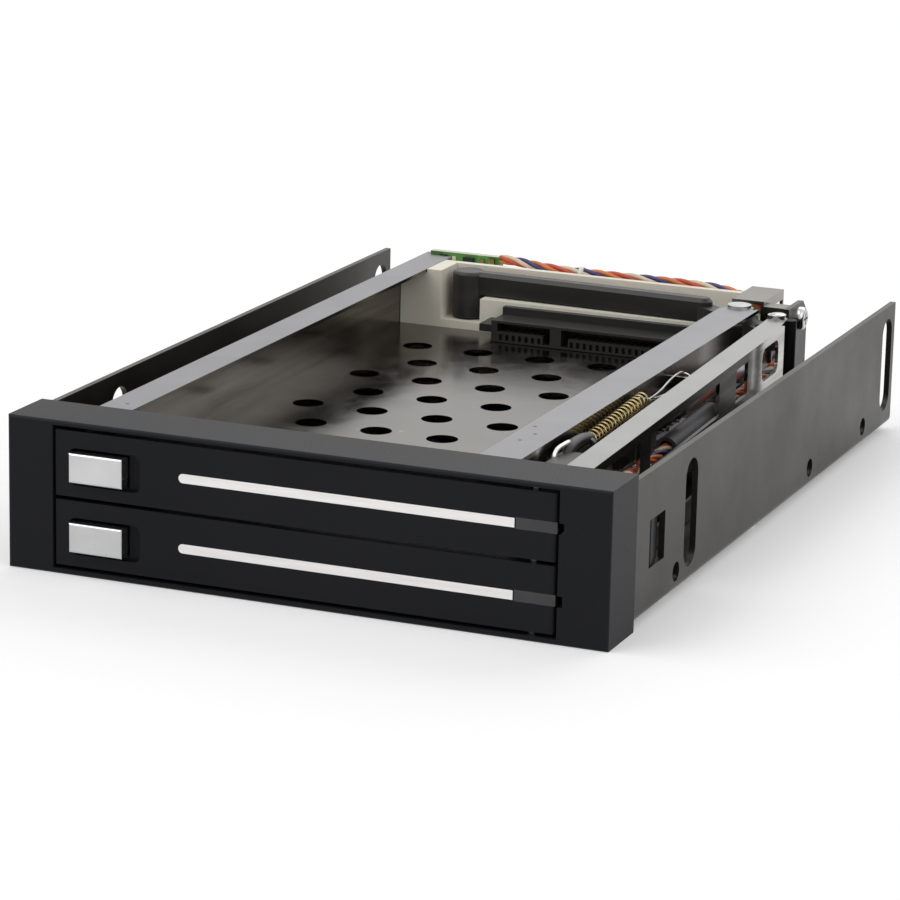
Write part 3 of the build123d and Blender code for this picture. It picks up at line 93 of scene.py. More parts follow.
# The wires' route from the rear board to the lamps
WIRE_ROUTE = (
    (-26.5, 148.8, 24.45),
    (-22.4, 148.4, 24.4),
    (-17.5, 146.5, 24.23),
    (-10.5, 145.7, 24.2),
    (-2.5, 145.5, 24.21),
    (6.0, 145.7, 24.2),
    (13.5, 145.5, 24.22),
    (19.0, 145.5, 24.0),
    (24.6, 145.0, 22.9),
    (29.0, 144.2, 20.9),
    (32.2, 141.6, 18.6),
    (33.7, 137.2, 16.6),
    (34.2, 131.0, 15.15),
    (35.8, 123.5, 15.0),
    (36.67, 107.0, 15.5),
    (37.22, 91.0, 16.0),
    (37.86, 73.0, 16.0),
    (38.46, 55.0, 16.0),
    (39.44, 41.0, 16.5),
    (41.82, 30.0, 19.0),
    (44.8, 21.0, 19.4),
    (45.5, 15.0, 18.6),
    (45.65, 9.9, 18.0),
)

# Return springs, with X from the guide rail's side and Z from the deck's top edge
RETURN_X = 1.75
RETURN_Z = -2.8
RETURN_RISE = 1.3
RETURN_Y = (38.0, 65.0)
RETURN_RADIUS = 1.15
RETURN_TURNS = 18
RETURN_WIRE = 0.21
RETURN_TAIL = 1.0

# The two wires that run from a return spring to its tongue, with X and Z from the coil's front
HOOK_OVER = (
    (0.95, 64.6, 1.3),
    (0.9, 69.0, 1.1),
    (-0.2, 79.0, 1.55),
    (-0.3, 84.1, 1.62),
    (-0.2, 85.6, 1.2),
    (0.2, 85.7, 0.1),
)
HOOK_BESIDE = (
    (-0.95, 64.6, 1.3),
    (0.6, 68.0, 0.2),
    (1.3, 80.0, 0.3),
    (1.3, 84.4, 0.6),
    (0.9, 85.5, 0.9),
    (-0.1, 85.65, 1.1),
)

# Hook of a link's head and a pale arc beside it that is a painted highlight, with X from the guide rail's
# side and Z from the deck's top edge
HEAD_HOOK = (
    (1.75, 40.0, -2.5),
    (1.8, 37.0, -1.8),
    (2.0, 33.0, -1.4),
    (2.2, 29.5, -1.4),
    (2.2, 27.4, -2.6),
    (2.2, 27.2, -4.8),
)
# A bright silver arc that stands in for a highlight beside the hook: painted highlight
HEAD_HIGHLIGHT_ARC = (
    (2.0, 29.5, -0.6),
    (1.5, 26.4, -0.7),
    (1.4, 24.6, -1.4),
    (1.5, 24.2, -3.2),
    (1.6, 24.4, -5.4),
)
HEAD_TUBES = (
    ("head_hook", HEAD_HOOK, 1.0, "black_gloss_plastic"),
    ("head_highlight_arc", HEAD_HIGHLIGHT_ARC, 0.36, "silver_trim"),
)

# Kick springs
KICK_REACH = 1.3
KICK_WIRE = 0.22
KICK_TURNS = 4

# Screw recess drawn as a dark cross of painted shade, screw cap, and the marks on the flanges drawn as dark
# dots of painted shade
RECESS_WIDTH = 0.4
RECESS_LENGTH = 2.2
RECESS_DEPTH = 0.1
RECESS_PROUD = 0.02
RAIL_SCREW = (36.1, 125.4)
RAIL_SCREW_LIFT = 0.8
RAIL_SCREW_RADIUS = 1.5
RAIL_SCREW_HEIGHT = 0.35
# Flange dimples drawn as tiny dark glossy dots: painted shade of stamped hollows
DIMPLE_SHADE_SPOTS = ((26.2, 25.0), (27.0, 29.5), (25.2, 34.0), (-38.6, 17.5))
DIMPLE_RADIUS = 0.35
DIMPLE_HEIGHT = 0.03

# Small parts on the rear board: left side, width, height and slot
BOARD_FRONT = 148.0
BOARD_PART_DEPTH = 0.5
BOARD_PART_Z = 23.5
BOARD_PARTS = (
    (-38.6, 1.6, 0.9, "black_gloss_plastic"),
    (-36.2, 0.8, 0.7, "ivory_plastic"),
    (-33.8, 2.2, 0.8, "black_gloss_plastic"),
    (-30.4, 0.9, 0.8, "brass"),
    (-28.6, 1.2, 1.0, "brass"),
)

# Camera: the photograph's direction, fitted to the cage's corners and hole lattice
CAMERA_AT = (236.21, -518.54, 176.39)
CAMERA_AZIMUTH = 22.196
CAMERA_ELEVATION = 14.813
CAMERA_ROLL = 1.255
CAMERA_LENS = 154.27
CAMERA_CLIP = (0.01, 10.0)
SENSOR = 36.0

# Light: the white surroundings as seen, as much of them as falls on the cage, and the floor's glow
BACKDROP = 1.0
AMBIENT = 0.42
FLOOR_GLOW = 0.22
FLOOR_SIZE = 6.0

# Lamps: name, place and size in metres, and power in watts
LAMPS = (
    ("key", (-0.9, -0.7, 1.5), (1.6, 1.6), 15.0),
    ("fill", (1.3, -0.5, 0.9), (1.4, 1.4), 6.0),
    ("rear", (0.2, 1.3, 1.1), (1.6, 1.0), 7.0),
)
LAMP_TARGET = Vector((0.0, 0.0, 0.01))


def place(x, y, z):
    """A point in metres in the shared frame, from millimetres behind the bezel's front."""
    return Vector((x * MM, (y + BEZEL_FRONT_Y) * MM, z * MM))


class Nodes:
    """A short way to build a material's node tree."""

    def __init__(self, name):
        self.material = bpy.data.materials.new(name)
        self.material.use_nodes = True
        self.tree = self.material.node_tree
        self.shader = self.tree.nodes["Principled BSDF"]
        self.coordinates = self.add("ShaderNodeTexCoord").outputs["Object"]

    def add(self, kind, **settings):
        node = self.tree.nodes.new(kind)
        for key, value in settings.items():
            setattr(node, key, value)
        return node

    def link(self, source, target):
        self.tree.links.new(source, target)

    def shader_values(self, **values):
        for key, value in values.items():
            self.shader.inputs[key.replace("_", " ")].default_value = value

    def stretched(self, scale):
        """Coordinates scaled by axis, for grain that runs one way."""
        mapping = self.add("ShaderNodeMapping")
        mapping.inputs["Scale"].default_value = scale
        self.link(self.coordinates, mapping.inputs["Vector"])
        return mapping.outputs["Vector"]

    def noise(self, scale, detail=3.0, roughness=0.5, stretch=None, distortion=0.0):
        texture = self.add("ShaderNodeTexNoise")
        texture.inputs["Scale"].default_value = scale
        texture.inputs["Detail"].default_value = detail
        texture.inputs["Roughness"].default_value = roughness
        texture.inputs["Distortion"].default_value = distortion
        source = self.stretched(stretch) if stretch else self.coordinates
        self.link(source, texture.inputs["Vector"])
        return texture.outputs["Fac"]

    def ramp(self, source, stops):
        ramp = self.add("ShaderNodeValToRGB")
        elements = ramp.color_ramp.elements
        while len(elements) < len(stops):
            elements.new(0.5)
        for element, (position, colour) in zip(elements, stops):
            element.position = position
            element.color = (*colour, 1.0)
        self.link(source, ramp.inputs["Fac"])
        return ramp.outputs["Color"]

    def spread(self, source, low, high, start=0.0, end=1.0):
        """The source between two values, for roughness and the like."""
        scale = self.add("ShaderNodeMapRange")
        scale.inputs["From Min"].default_value = start
        scale.inputs["From Max"].default_value = end
        scale.inputs["To Min"].default_value = low
        scale.inputs["To Max"].default_value = high
        self.link(source, scale.inputs["Value"])
        return scale.outputs["Result"]

    def upward(self):
        """How far a face of the piece looks up or down, from 0 to 1."""
        parts = self.add("ShaderNodeSeparateXYZ")
        self.link(self.add("ShaderNodeTexCoord").outputs["Normal"], parts.inputs["Vector"])
        size = self.add("ShaderNodeMath", operation="ABSOLUTE")
        self.link(parts.outputs["Z"], size.inputs[0])
        return size.outputs["Value"]

    def mixed(self, share, low, high):
        """Two colours blended by share."""
        mix = self.add("ShaderNodeMix", data_type="RGBA")
        self.link(share, mix.inputs["Factor"])
        self.link(low, mix.inputs[MIX_FIRST])
        self.link(high, mix.inputs[MIX_SECOND])
        return mix.outputs[MIX_RESULT]

    def colour_from(self, source):
        self.link(source, self.shader.inputs["Base Color"])

    def roughness_from(self, source):
        self.link(source, self.shader.inputs["Roughness"])

    def bump(self, source, strength, distance):
        bump = self.add("ShaderNodeBump")
        bump.inputs["Strength"].default_value = strength
        bump.inputs["Distance"].default_value = distance
        self.link(source, bump.inputs["Height"])
        self.link(bump.outputs["Normal"], self.shader.inputs["Normal"])


def moulded_black():
    """Charcoal plastic with a fine even grain."""
    m = Nodes("moulded_black")
    grain = m.noise(2600.0, detail=2.0)
    cloud = m.noise(28.0, detail=2.0)
    m.colour_from(m.ramp(cloud, ((0.3, (0.0085, 0.0086, 0.0095)), (0.7, (0.0115, 0.0116, 0.013)))))
    m.roughness_from(m.spread(grain, 0.36, 0.5))
    m.bump(grain, 0.2, 0.00006)
    m.shader_values(Specular_IOR_Level=0.13, Specular_Tint=(0.85, 0.88, 1.0, 1.0))
    return m.material


def painted_steel():
    """Semi-gloss black paint on the folded chassis, with slight orange peel."""
    m = Nodes("painted_steel")
    peel = m.noise(900.0, detail=2.0)
    wear = m.noise(45.0, detail=5.0, roughness=0.65)
    m.colour_from(m.ramp(wear, ((0.35, (0.0115, 0.010, 0.009)), (0.8, (0.019, 0.0165, 0.015)))))
    m.roughness_from(m.spread(wear, 0.26, 0.42, 0.3, 0.75))
    m.bump(peel, 0.10, 0.00005)
    m.shader_values(Specular_IOR_Level=0.27, Specular_Tint=(1.0, 0.93, 0.88, 1.0))
    return m.material


def glossy_black():
    """Smooth black moulding of the arm, the link and the receptacles."""
    m = Nodes("glossy_black")
    streaks = m.noise(160.0, detail=4.0, stretch=(0.15, 1.0, 1.0))
    m.colour_from(m.ramp(streaks, ((0.3, (0.012, 0.0115, 0.011)), (0.75, (0.036, 0.034, 0.032)))))
    m.roughness_from(m.spread(streaks, 0.28, 0.48))
    m.bump(streaks, 0.12, 0.00008)
    m.shader_values(Specular_IOR_Level=0.35)
    return m.material


def plated_sheet():
    """The trays: dark bright-rolled sheet with smudges, dust and fine scratches along the rails."""
    m = Nodes("plated_sheet")
    scratches = m.noise(420.0, detail=5.0, roughness=0.7, stretch=(1.0, 0.02, 1.0))
    smudge = m.noise(46.0, detail=7.0, roughness=0.72, distortion=0.8)
    tones = ((0.25, (0.12, 0.108, 0.094)), (0.5, (0.17, 0.158, 0.142)), (0.8, (0.235, 0.222, 0.205)))
    tone = m.ramp(smudge, tones)
    dust = m.noise(330.0, detail=4.0, roughness=0.8, stretch=(1.0, 0.25, 1.0))
    marks = m.ramp(dust, ((0.64, (0.0, 0.0, 0.0)), (0.72, (0.5, 0.5, 0.5))))
    pale = m.ramp(smudge, ((0.0, (0.4, 0.38, 0.35)), (1.0, (0.5, 0.48, 0.45))))
    m.colour_from(m.mixed(marks, tone, pale))
    m.roughness_from(m.spread(smudge, 0.09, 0.3, 0.3, 0.75))
    m.bump(scratches, 0.12, 0.00004)
    m.shader_values(Metallic=1.0)
    return m.material


def folded_rail(name, flange, web, web_gloss):
    """A rail whose flange is dull grey with fine lines, and whose web is darker and mirror-like. Flange and
    web are one folded sheet; their two colours, picked by which way each face looks, are painted light and
    shade.
    """
    m = Nodes(name)
    up = m.upward()
    lines = m.noise(1400.0, detail=3.0, stretch=(1.0, 0.012, 1.0))
    streaks = m.noise(260.0, detail=6.0, roughness=0.7, stretch=(1.0, 0.05, 1.6), distortion=0.5)
    mottle = m.noise(110.0, detail=6.0, roughness=0.6)
    top = m.ramp(mottle, ((0.3, tuple(0.9 * value for value in flange)), (0.7, flange)))
    side = m.ramp(streaks, ((0.32, tuple(0.45 * value for value in web)), (0.68, web)))
    # Colour by face direction: the up-facing flange tone and the side-facing web tone are painted light and
    # shade on one sheet
    m.colour_from(m.mixed(up, side, top))
    m.roughness_from(m.spread(up, web_gloss, 0.5))
    m.bump(lines, 0.16, 0.00004)
    m.shader_values(Metallic=1.0)
    return m.material


def plain_metal(name, low, high, roughness, grain=400.0):
    """A metal with a little variation in tone and gloss."""
    m = Nodes(name)
    tone = m.noise(grain, detail=4.0)
    m.colour_from(m.ramp(tone, ((0.3, low), (0.7, high))))
    m.roughness_from(m.spread(tone, roughness, roughness + 0.14))
    m.bump(tone, 0.06, 0.00004)
    m.shader_values(Metallic=1.0)
    return m.material


def satin_chrome():
    """The buttons: satin plating, slightly uneven."""
    m = Nodes("satin_chrome")
    grain = m.noise(2200.0, detail=2.0)
    tone = m.noise(90.0, detail=3.0)
    m.colour_from(m.ramp(tone, ((0.3, (0.5, 0.505, 0.5)), (0.7, (0.6, 0.605, 0.6)))))
    m.roughness_from(m.spread(grain, 0.2, 0.3))
    m.bump(grain, 0.06, 0.00003)
    m.shader_values(Metallic=1.0)
    return m.material


def silver_line():
    """The bright foil strip of the door."""
    m = Nodes("silver_line")
    grain = m.noise(1800.0, detail=2.0, stretch=(0.05, 1.0, 1.0))
    m.colour_from(m.ramp(grain, ((0.3, (0.82, 0.8, 0.78)), (0.7, (0.9, 0.885, 0.87)))))
    m.roughness_from(m.spread(grain, 0.3, 0.42))
    m.shader_values(Metallic=0.7)
    return m.material


def smoky_insert():
    """The dark see-through light insert."""
    m = Nodes("smoky_insert")
    cloud = m.noise(120.0, detail=2.0)
    m.colour_from(m.ramp(cloud, ((0.3, (0.03, 0.03, 0.032)), (0.7, (0.055, 0.055, 0.058)))))
    m.roughness_from(m.spread(cloud, 0.12, 0.22))
    m.shader_values(Transmission_Weight=0.35, IOR=1.49)
    return m.material


def ivory_moulding():
    """The pale bracket, satin, with a faint warm variation and light translucency."""
    m = Nodes("ivory_moulding")
    cloud = m.noise(55.0, detail=4.0)
    grain = m.noise(1500.0, detail=2.0)
    m.colour_from(m.ramp(cloud, ((0.3, (0.80, 0.755, 0.64)), (0.75, (0.88, 0.85, 0.76)))))
    m.roughness_from(m.spread(grain, 0.42, 0.56))
    m.bump(grain, 0.1, 0.00005)
    m.shader_values(Subsurface_Weight=0.12, Subsurface_Scale=0.002)
    return m.material


def circuit_green():
    """Green board with darker tracks under the lacquer, and a pale upper edge."""
    m = Nodes("circuit_green")
    tracks = m.add("ShaderNodeTexVoronoi", distance="CHEBYCHEV")
    tracks.inputs["Scale"].default_value = 420.0
    m.link(m.coordinates, tracks.inputs["Vector"])
    green = m.ramp(tracks.outputs["Distance"], ((0.35, (0.04, 0.16, 0.03)), (0.6, (0.11, 0.3, 0.07))))
    edge = m.ramp(m.noise(300.0), ((0.3, (0.5, 0.56, 0.42)), (0.7, (0.62, 0.66, 0.5))))
    m.colour_from(m.mixed(m.upward(), green, edge))
    m.roughness_from(m.spread(m.noise(300.0), 0.3, 0.42))
    m.bump(tracks.outputs["Distance"], 0.15, 0.00004)
    return m.material


def coloured_wire(name, colour):
    """Glossy wire covering in one colour with slight variation."""
    m = Nodes(name)
    tone = m.noise(300.0, detail=2.0)
    darker = tuple(0.8 * value for value in colour)
    m.colour_from(m.ramp(tone, ((0.3, darker), (0.7, colour))))
    m.roughness_from(m.spread(tone, 0.32, 0.45))
    return m.material


def grey_sleeving():
    """Dull grey shrunk tube."""
    m = Nodes("grey_sleeving")
    tone = m.noise(200.0, detail=3.0)
    m.colour_from(m.ramp(tone, ((0.3, (0.045, 0.045, 0.05)), (0.7, (0.07, 0.07, 0.076)))))
    m.roughness_from(m.spread(tone, 0.5, 0.65))
    m.bump(tone, 0.2, 0.00008)
    return m.material


def clear_epoxy():
    """The lamps' clear bodies."""
    m = Nodes("clear_epoxy")
    tone = m.noise(200.0, detail=2.0)
    m.colour_from(m.ramp(tone, ((0.3, (0.7, 0.72, 0.75)), (0.7, (0.82, 0.84, 0.86)))))
    m.roughness_from(m.spread(tone, 0.08, 0.16))
    m.shader_values(Transmission_Weight=0.6, IOR=1.5)
    return m.material


SLOT_MATERIALS = {
    "black_steel": painted_steel(),
    "black_plastic": moulded_black(),
    "black_gloss_plastic": glossy_black(),
    "nickel_sheet": plated_sheet(),
    "steel": plain_metal("plain_steel", (0.42, 0.42, 0.42), (0.6, 0.6, 0.59), 0.14),
    "dark_steel": plain_metal("dark_steel", (0.3, 0.29, 0.28), (0.45, 0.44, 0.42), 0.16),
    "brass": plain_metal("drawn_brass", (0.24, 0.185, 0.08), (0.4, 0.32, 0.15), 0.16),
    "chrome": satin_chrome(),
    "silver_trim": silver_line(),
    "smoky_plastic": smoky_insert(),
    "ivory_plastic": ivory_moulding(),
    "circuit_board": circuit_green(),
    # Contact colour kept far darker than gold: painted shade of the receptacle's slot
    "gold_contact": plain_metal("gold_contact", (0.09, 0.08, 0.06), (0.14, 0.12, 0.085), 0.3),
    "clear_lamp": clear_epoxy(),
    "wire_cover": coloured_wire("wire_orange", (0.7, 0.2, 0.045)),
    "grey_sleeve": grey_sleeving(),
}
# Each rail's flange and web colours are painted light and shade, set apart by face direction
INNER_RAIL = folded_rail("inner_rail", (0.27, 0.27, 0.278), (0.3, 0.275, 0.245), 0.2)
OUTER_RAIL = folded_rail("outer_rail", (0.33, 0.33, 0.325), (0.5, 0.48, 0.45), 0.07)
CORNER_PLATE = folded_rail("corner_plate", (0.24, 0.23, 0.21), (0.3, 0.28, 0.26), 0.25)
WIRES = {
    "red_wire": coloured_wire("wire_red", (0.6, 0.07, 0.02)),
    "orange_wire": SLOT_MATERIALS["wire_cover"],
    "violet_wire": coloured_wire("wire_violet", (0.035, 0.02, 0.13)),
    "cream_wire": coloured_wire("wire_cream", (0.78, 0.66, 0.48)),
}


def paint(obj, material):
    """One material for the whole object."""
    obj.data.materials.clear()
    obj.data.materials.append(material)


def dress_nodes():
    """Every CAD node gets its slot's material, and the rails get their own two-sided ones, whose flange and
    web colours are painted light and shade picked by face direction.
    """
    for part in frame["record"]["subparts"]:
        paint(NODES[part["node"]], SLOT_MATERIALS[part["material_slot"]])
    for name, obj in NODES.items():
        if name.endswith("side_rail"):
            paint(obj, OUTER_RAIL)
        elif name.endswith("_rail"):
            paint(obj, INNER_RAIL)
    paint(NODES["rear_corner_bracket"], CORNER_PLATE)


def soften(name, width, segments=2):
    """A small rounding on a CAD node's edges, as a modifier."""
    bevel = NODES[name].modifiers.new("soft_edge", "BEVEL")
    bevel.width = width * MM
    bevel.segments = segments
    bevel.limit_method = "ANGLE"
    bevel.angle_limit = math.radians(EDGE_ANGLE)


def soften_edges():
    """Roundings by kind of piece: mouldings, glossy black parts, trays and folded sheet."""
    for name in NODES:
        if name.endswith(("front_bezel", "door_panel", "connector_bracket", "sata_receptacle")):
            soften(name, MOULDED_EDGE)
        elif name.endswith(("ejector_arm", "latch_keeper", "link_shoe")):
            soften(name, BLACK_EDGE)
        elif name.endswith("deck_plate"):
            soften(name, DECK_EDGE)
        elif name.endswith(("_rail", "chassis_shell", "rear_corner_bracket")):
            soften(name, SHEET_EDGE, 1)


def node_box(name):
    """A node's limits in millimetres in X, Y and Z, with Y behind the bezel's front."""
    low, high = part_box(name)
    return (
        (low.x / MM, high.x / MM),
        (low.y / MM - BEZEL_FRONT_Y, high.y / MM - BEZEL_FRONT_Y),
        (low.z / MM, high.z / MM),
    )


def new_piece(name, vertices, faces, body, slot, material=None, smooth=True):
    """A mesh piece in metres that rides on a body, in its slot's material unless one is given."""
    mesh = bpy.data.meshes.new(name)
    mesh.from_pydata(vertices, [], faces)
    mesh.update()
    for polygon in mesh.polygons:
        polygon.use_smooth = smooth
    piece = bpy.data.objects.new(name, mesh)
    bpy.context.scene.collection.objects.link(piece)
    paint(piece, material or SLOT_MATERIALS[slot])
    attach(piece, body)
    return piece


def frames_along(path):
    """Each point of a path with two directions across it that turn as little as they can."""
    across = Vector((0.0, 0.0, 1.0))
    frames = []
    for index, point in enumerate(path):
        before = path[max(index - 1, 0)]
        after = path[min(index + 1, len(path) - 1)]
        along = (after - before).normalized()
        across = (across - along * across.dot(along)).normalized()
        frames.append((point, across, along.cross(across)))
    return frames


def step_out(across, other, angle, distance):
    """A step away from a path, at an angle round it. The distance is in millimetres."""
    return (across * math.cos(angle) + other * math.sin(angle)) * distance * MM


def tube_mesh(paths, radius, sides=8):
    """Vertices and faces of round wires along paths of points in metres."""
    vertices = []
    faces = []
    for path in paths:
        first = len(vertices)
        for point, across, other in frames_along(path):
            for side in range(sides):
                angle = 2 * math.pi * side / sides
                vertices.append(point + step_out(across, other, angle, radius))
        for ring in range(len(path) - 1):
            for side in range(sides):
                a = first + ring * sides + side
                b = first + ring * sides + (side + 1) % sides
                faces.append((a, b, b + sides, a + sides))
        faces.append(tuple(first + side for side in reversed(range(sides))))
        last = first + (len(path) - 1) * sides
        faces.append(tuple(last + side for side in range(sides)))
    return vertices, faces


def moved(points, x, z):
    """Points moved in X and Z."""
    return [(x + across, along, z + up) for across, along, up in points]


def smooth_path(points, step):
    """Evenly spaced points in metres along a smooth curve. Its control points and step are in millimetres."""
    curve = bpy.data.curves.new("route", "CURVE")
    curve.dimensions = "3D"
    curve.resolution_u = CURVE_STEPS
    spline = curve.splines.new("NURBS")
    spline.points.add(len(points) - 1)
    for control, point in zip(spline.points, points):
        control.co = (*place(*point), 1.0)
    spline.order_u = CURVE_ORDER
    spline.use_endpoint_u = True
    holder = bpy.data.objects.new("route", curve)
    mesh = bpy.data.meshes.new_from_object(holder)
    raw = [vertex.co.copy() for vertex in mesh.vertices]
    bpy.data.objects.remove(holder)
    bpy.data.curves.remove(curve)
    bpy.data.meshes.remove(mesh)
    path = [raw[0]]
    for point in raw[1:]:
        while (point - path[-1]).length >= step * MM:
            path.append(path[-1] + (point - path[-1]).normalized() * step * MM)
    path.append(raw[-1])
    return path


def coil_path(x, z, y, radius, turns, rise=0.0, steps=18):
    """A helix along Y, higher by rise at its rear end."""
    count = int(turns * steps)
    path = []
    for index in range(count + 1):
        angle = 2 * math.pi * index / steps
        along = y[0] + (y[1] - y[0]) * index / count
        height = z + rise * index / count + radius * math.sin(angle)
        path.append(place(x + radius * math.cos(angle), along, height))
    return path


def add_return_springs():
    """Real coils, each with the wire loop that hangs on the guide rail's tongue."""
    for deck, top in DECK_TOPS.items():
        body = deck + "_link"
        x = GUIDE_X + RETURN_X
        z = top + RETURN_Z
        tail = [place(x, RETURN_Y[0] - RETURN_TAIL, z), place(x + RETURN_RADIUS, RETURN_Y[0], z)]
        coil = coil_path(x, z, RETURN_Y, RETURN_RADIUS, RETURN_TURNS, RETURN_RISE)
        spring = new_piece(deck + "_return_coil", *tube_mesh((tail + coil,), RETURN_WIRE), body, "brass")
        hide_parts(deck + "_return_spring")
        hooks = [smooth_path(moved(route, x, z), TUBE_STEP) for route in (HOOK_OVER, HOOK_BESIDE)]
        new_piece(deck + "_spring_hook", *tube_mesh(hooks, RETURN_WIRE), body, "dark_steel")


def add_kick_springs():
    """Short coils in place of the two kick springs."""
    x, y, z = node_box("kick_springs")
    heights = (z[0] + KICK_REACH, z[1] - KICK_REACH)
    paths = [coil_path(sum(x) / 2, height, y, KICK_REACH - KICK_WIRE, KICK_TURNS) for height in heights]
    kicks = new_piece("kick_coils", *tube_mesh(paths, KICK_WIRE), "cage", "brass")
    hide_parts("kick_springs")


def add_head_tubes():
    """The glossy hook of each link's head, with a pale silver arc beside it that is a painted highlight."""
    for deck, top in DECK_TOPS.items():
        for name, points, radius, slot in HEAD_TUBES:
            path = smooth_path(moved(points, GUIDE_X, top), TUBE_STEP)
            new_piece(f"{deck}_{name}", *tube_mesh((path,), radius, ROUND_SIDES), deck + "_link", slot)


def add_wires():
    """Four twisted wires in place of the harness's plain tube, with a small tie."""
    path = smooth_path(WIRE_ROUTE, WIRE_STEP)
    strands = {name: [] for name in WIRES}
    for index, (point, across, other) in enumerate(frames_along(path)):
        spin = 2 * math.pi * index * WIRE_STEP / WIRE_TWIST
        for number, name in enumerate(WIRES):
            angle = spin + number * math.pi / 2 + WIRE_PHASE
            strands[name].append(point + step_out(across, other, angle, WIRE_OFFSET))
    for name, strand in strands.items():
        wire = new_piece(name, *tube_mesh((strand,), WIRE_RADIUS), "cage", "wire_cover", WIRES[name])
        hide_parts("lamp_harness")
    near = min(range(len(path)), key=lambda index: abs(path[index].x / MM - TIE_X))
    tie = [path[near - 1], path[near]]
    new_piece("wire_tie", *tube_mesh((tie,), TIE_RADIUS, ROUND_SIDES), "cage", "ivory_plastic")


def block(name, x, y, z, slot):
    """A small box on the cage between limits in millimetres."""
    corners = [place(a, b, c) for c in z for b in y for a in x]
    faces = ((0, 2, 3, 1), (4, 5, 7, 6), (0, 1, 5, 4), (2, 6, 7, 3), (0, 4, 6, 2), (1, 3, 7, 5))
    new_piece(name, corners, faces, "cage", slot, smooth=False)


def dome(name, at, radius, height, slot, rings=5, sides=24):
    """A low round cap on the cage that looks up."""
    x, y, z = at
    vertices = []
    faces = []
    for ring in range(rings):
        angle = math.pi / 2 * ring / rings
        reach = radius * math.cos(angle)
        level = z + height * math.sin(angle)
        for side in range(sides):
            turn = 2 * math.pi * side / sides
            vertices.append(place(x + reach * math.cos(turn), y + reach * math.sin(turn), level))
    vertices.append(place(x, y, z + height))
    for ring in range(rings - 1):
        for side in range(sides):
            a = ring * sides + side
            b = ring * sides + (side + 1) % sides
            faces.append((a, b, b + sides, a + sides))
    top = (rings - 1) * sides
    for side in range(sides):
        faces.append((top + side, top + (side + 1) % sides, len(vertices) - 1))
    faces.append(tuple(reversed(range(sides))))
    new_piece(name, vertices, faces, "cage", slot)


def around(limits, size):
    """Limits of this size about the middle of others."""
    middle = sum(limits) / 2
    return (middle - size / 2, middle + size / 2)


def add_screw_recess_shade():
    """The crossed recess in the head of the tab's screw, drawn as a thin black cross of painted shade on the
    head's face.
    """
    x, y, z = node_box("tab_screw")
    depth = (x[1] - RECESS_DEPTH, x[1] + RECESS_PROUD)
    # Black plastic stands in for the shade inside the recess: painted shade
    slot = "black_gloss_plastic"
    block("recess_shade_upright", depth, around(y, RECESS_WIDTH), around(z, RECESS_LENGTH), slot)
    block("recess_shade_level", depth, around(y, RECESS_LENGTH), around(z, RECESS_WIDTH), slot)


def add_small_parts():
    """The rail screw's cap, the marks on the flanges as dark dots of painted shade, and the parts on the rear
    board.
    """
    top = DECK_TOPS["upper"]
    cap_at = (*RAIL_SCREW, top + RAIL_SCREW_LIFT)
    dome("rail_screw_cap", cap_at, RAIL_SCREW_RADIUS, RAIL_SCREW_HEIGHT, "steel")
    for number, (x, y) in enumerate(DIMPLE_SHADE_SPOTS):
        dome(f"dimple_shade_{number}", (x, y, top), DIMPLE_RADIUS, DIMPLE_HEIGHT, "black_gloss_plastic")
    depth = (BOARD_FRONT - BOARD_PART_DEPTH, BOARD_FRONT)
    for number, (x, width, height, slot) in enumerate(BOARD_PARTS):
        z = (BOARD_PART_Z, BOARD_PART_Z + height)
        block(f"board_part_{number}", (x, x + width), depth, z, slot)


def add_camera():
    """A camera at the photograph's viewing angle."""
    data = bpy.data.cameras.new("camera")
    data.lens = CAMERA_LENS
    data.sensor_width = SENSOR
    data.clip_start = CAMERA_CLIP[0]
    data.clip_end = CAMERA_CLIP[1]
    camera = bpy.data.objects.new("camera", data)
    bpy.context.scene.collection.objects.link(camera)
    azimuth = math.radians(CAMERA_AZIMUTH)
    elevation = math.radians(CAMERA_ELEVATION)
    back = Vector(
        (
            math.sin(azimuth) * math.cos(elevation),
            -math.cos(azimuth) * math.cos(elevation),
            math.sin(elevation),
        )
    )
    turn = back.to_track_quat("Z", "Y").to_matrix().to_4x4()
    roll = Matrix.Rotation(math.radians(CAMERA_ROLL), 4, "Z")
    camera.matrix_world = Matrix.Translation(place(*CAMERA_AT)) @ turn @ roll
    bpy.context.scene.camera = camera


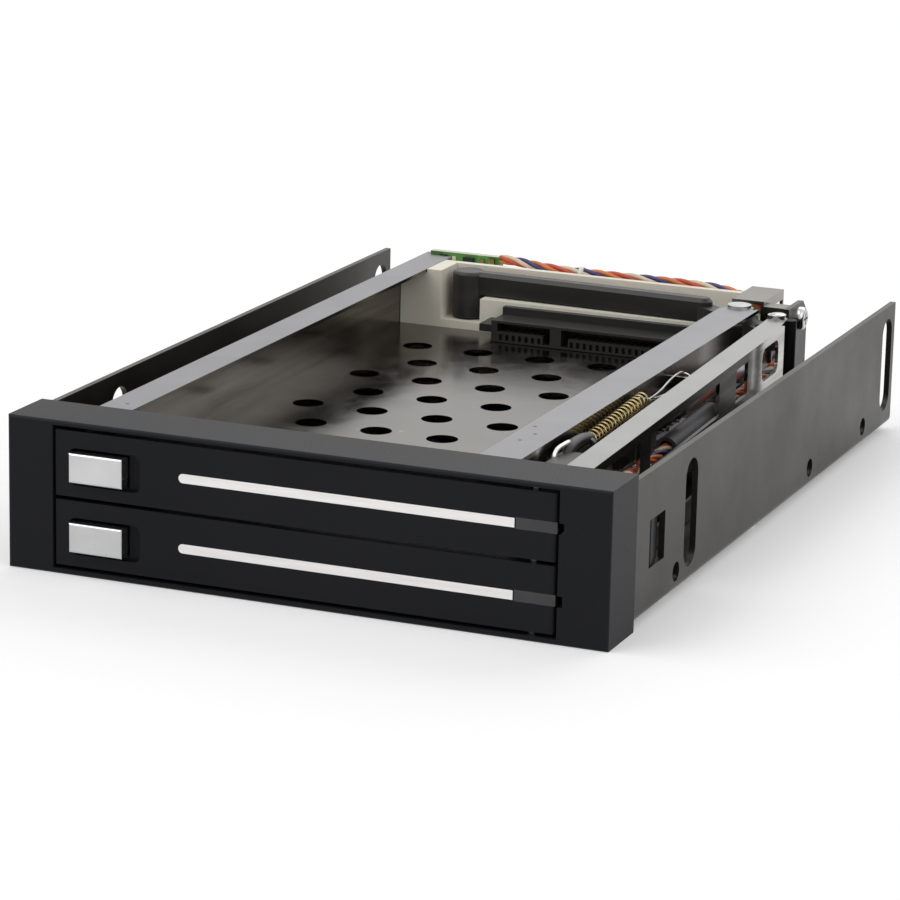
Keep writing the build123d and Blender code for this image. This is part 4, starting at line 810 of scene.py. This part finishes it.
def seen_share(tree, low, high):
    """A value that is high for what the camera, mirrors and glass see, and low for other light."""
    path = tree.nodes.new("ShaderNodeLightPath")
    seen = path.outputs["Is Camera Ray"]
    for kind in ("Is Glossy Ray", "Is Transmission Ray"):
        total = tree.nodes.new("ShaderNodeMath")
        total.operation = "MAXIMUM"
        tree.links.new(seen, total.inputs[0])
        tree.links.new(path.outputs[kind], total.inputs[1])
        seen = total.outputs["Value"]
    strength = tree.nodes.new("ShaderNodeMapRange")
    strength.inputs["To Min"].default_value = low
    strength.inputs["To Max"].default_value = high
    tree.links.new(seen, strength.inputs["Value"])
    return strength.outputs["Result"]


def add_floor():
    """A wide pale floor that shows white to the camera and in reflections."""
    bpy.ops.mesh.primitive_plane_add(size=FLOOR_SIZE, location=(0.0, 0.0, CAD_BOUNDS[0][2]))
    floor = bpy.context.object
    floor.name = "floor"
    m = Nodes("pale_floor")
    m.shader.inputs["Base Color"].default_value = (0.86, 0.86, 0.86, 1.0)
    m.shader.inputs["Roughness"].default_value = 0.7
    m.shader.inputs["Specular IOR Level"].default_value = 0.1
    m.shader.inputs["Emission Color"].default_value = (1.0, 1.0, 1.0, 1.0)
    m.link(seen_share(m.tree, 0.0, FLOOR_GLOW), m.shader.inputs["Emission Strength"])
    paint(floor, m.material)


def area_lamp(name, at, size, power):
    """A soft rectangular lamp turned towards the cage."""
    data = bpy.data.lights.new(name, "AREA")
    data.shape = "RECTANGLE"
    data.size = size[0]
    data.size_y = size[1]
    data.energy = power
    lamp = bpy.data.objects.new(name, data)
    bpy.context.scene.collection.objects.link(lamp)
    lamp.location = at
    lamp.rotation_euler = (LAMP_TARGET - Vector(at)).to_track_quat("-Z", "Y").to_euler()


def add_lights():
    """Three soft lamps and white surroundings."""
    for name, at, size, power in LAMPS:
        area_lamp(name, at, size, power)
    world = bpy.data.worlds.new("world")
    world.use_nodes = True
    background = world.node_tree.nodes["Background"]
    background.inputs["Color"].default_value = (1.0, 1.0, 1.0, 1.0)
    strength = seen_share(world.node_tree, AMBIENT, BACKDROP)
    world.node_tree.links.new(strength, background.inputs["Strength"])
    bpy.context.scene.world = world


bpy.context.scene.view_settings.view_transform = "Standard"
dress_nodes()
soften_edges()
add_return_springs()
add_kick_springs()
add_head_tubes()
add_wires()
add_screw_recess_shade()
add_small_parts()
add_camera()
add_floor()
add_lights()
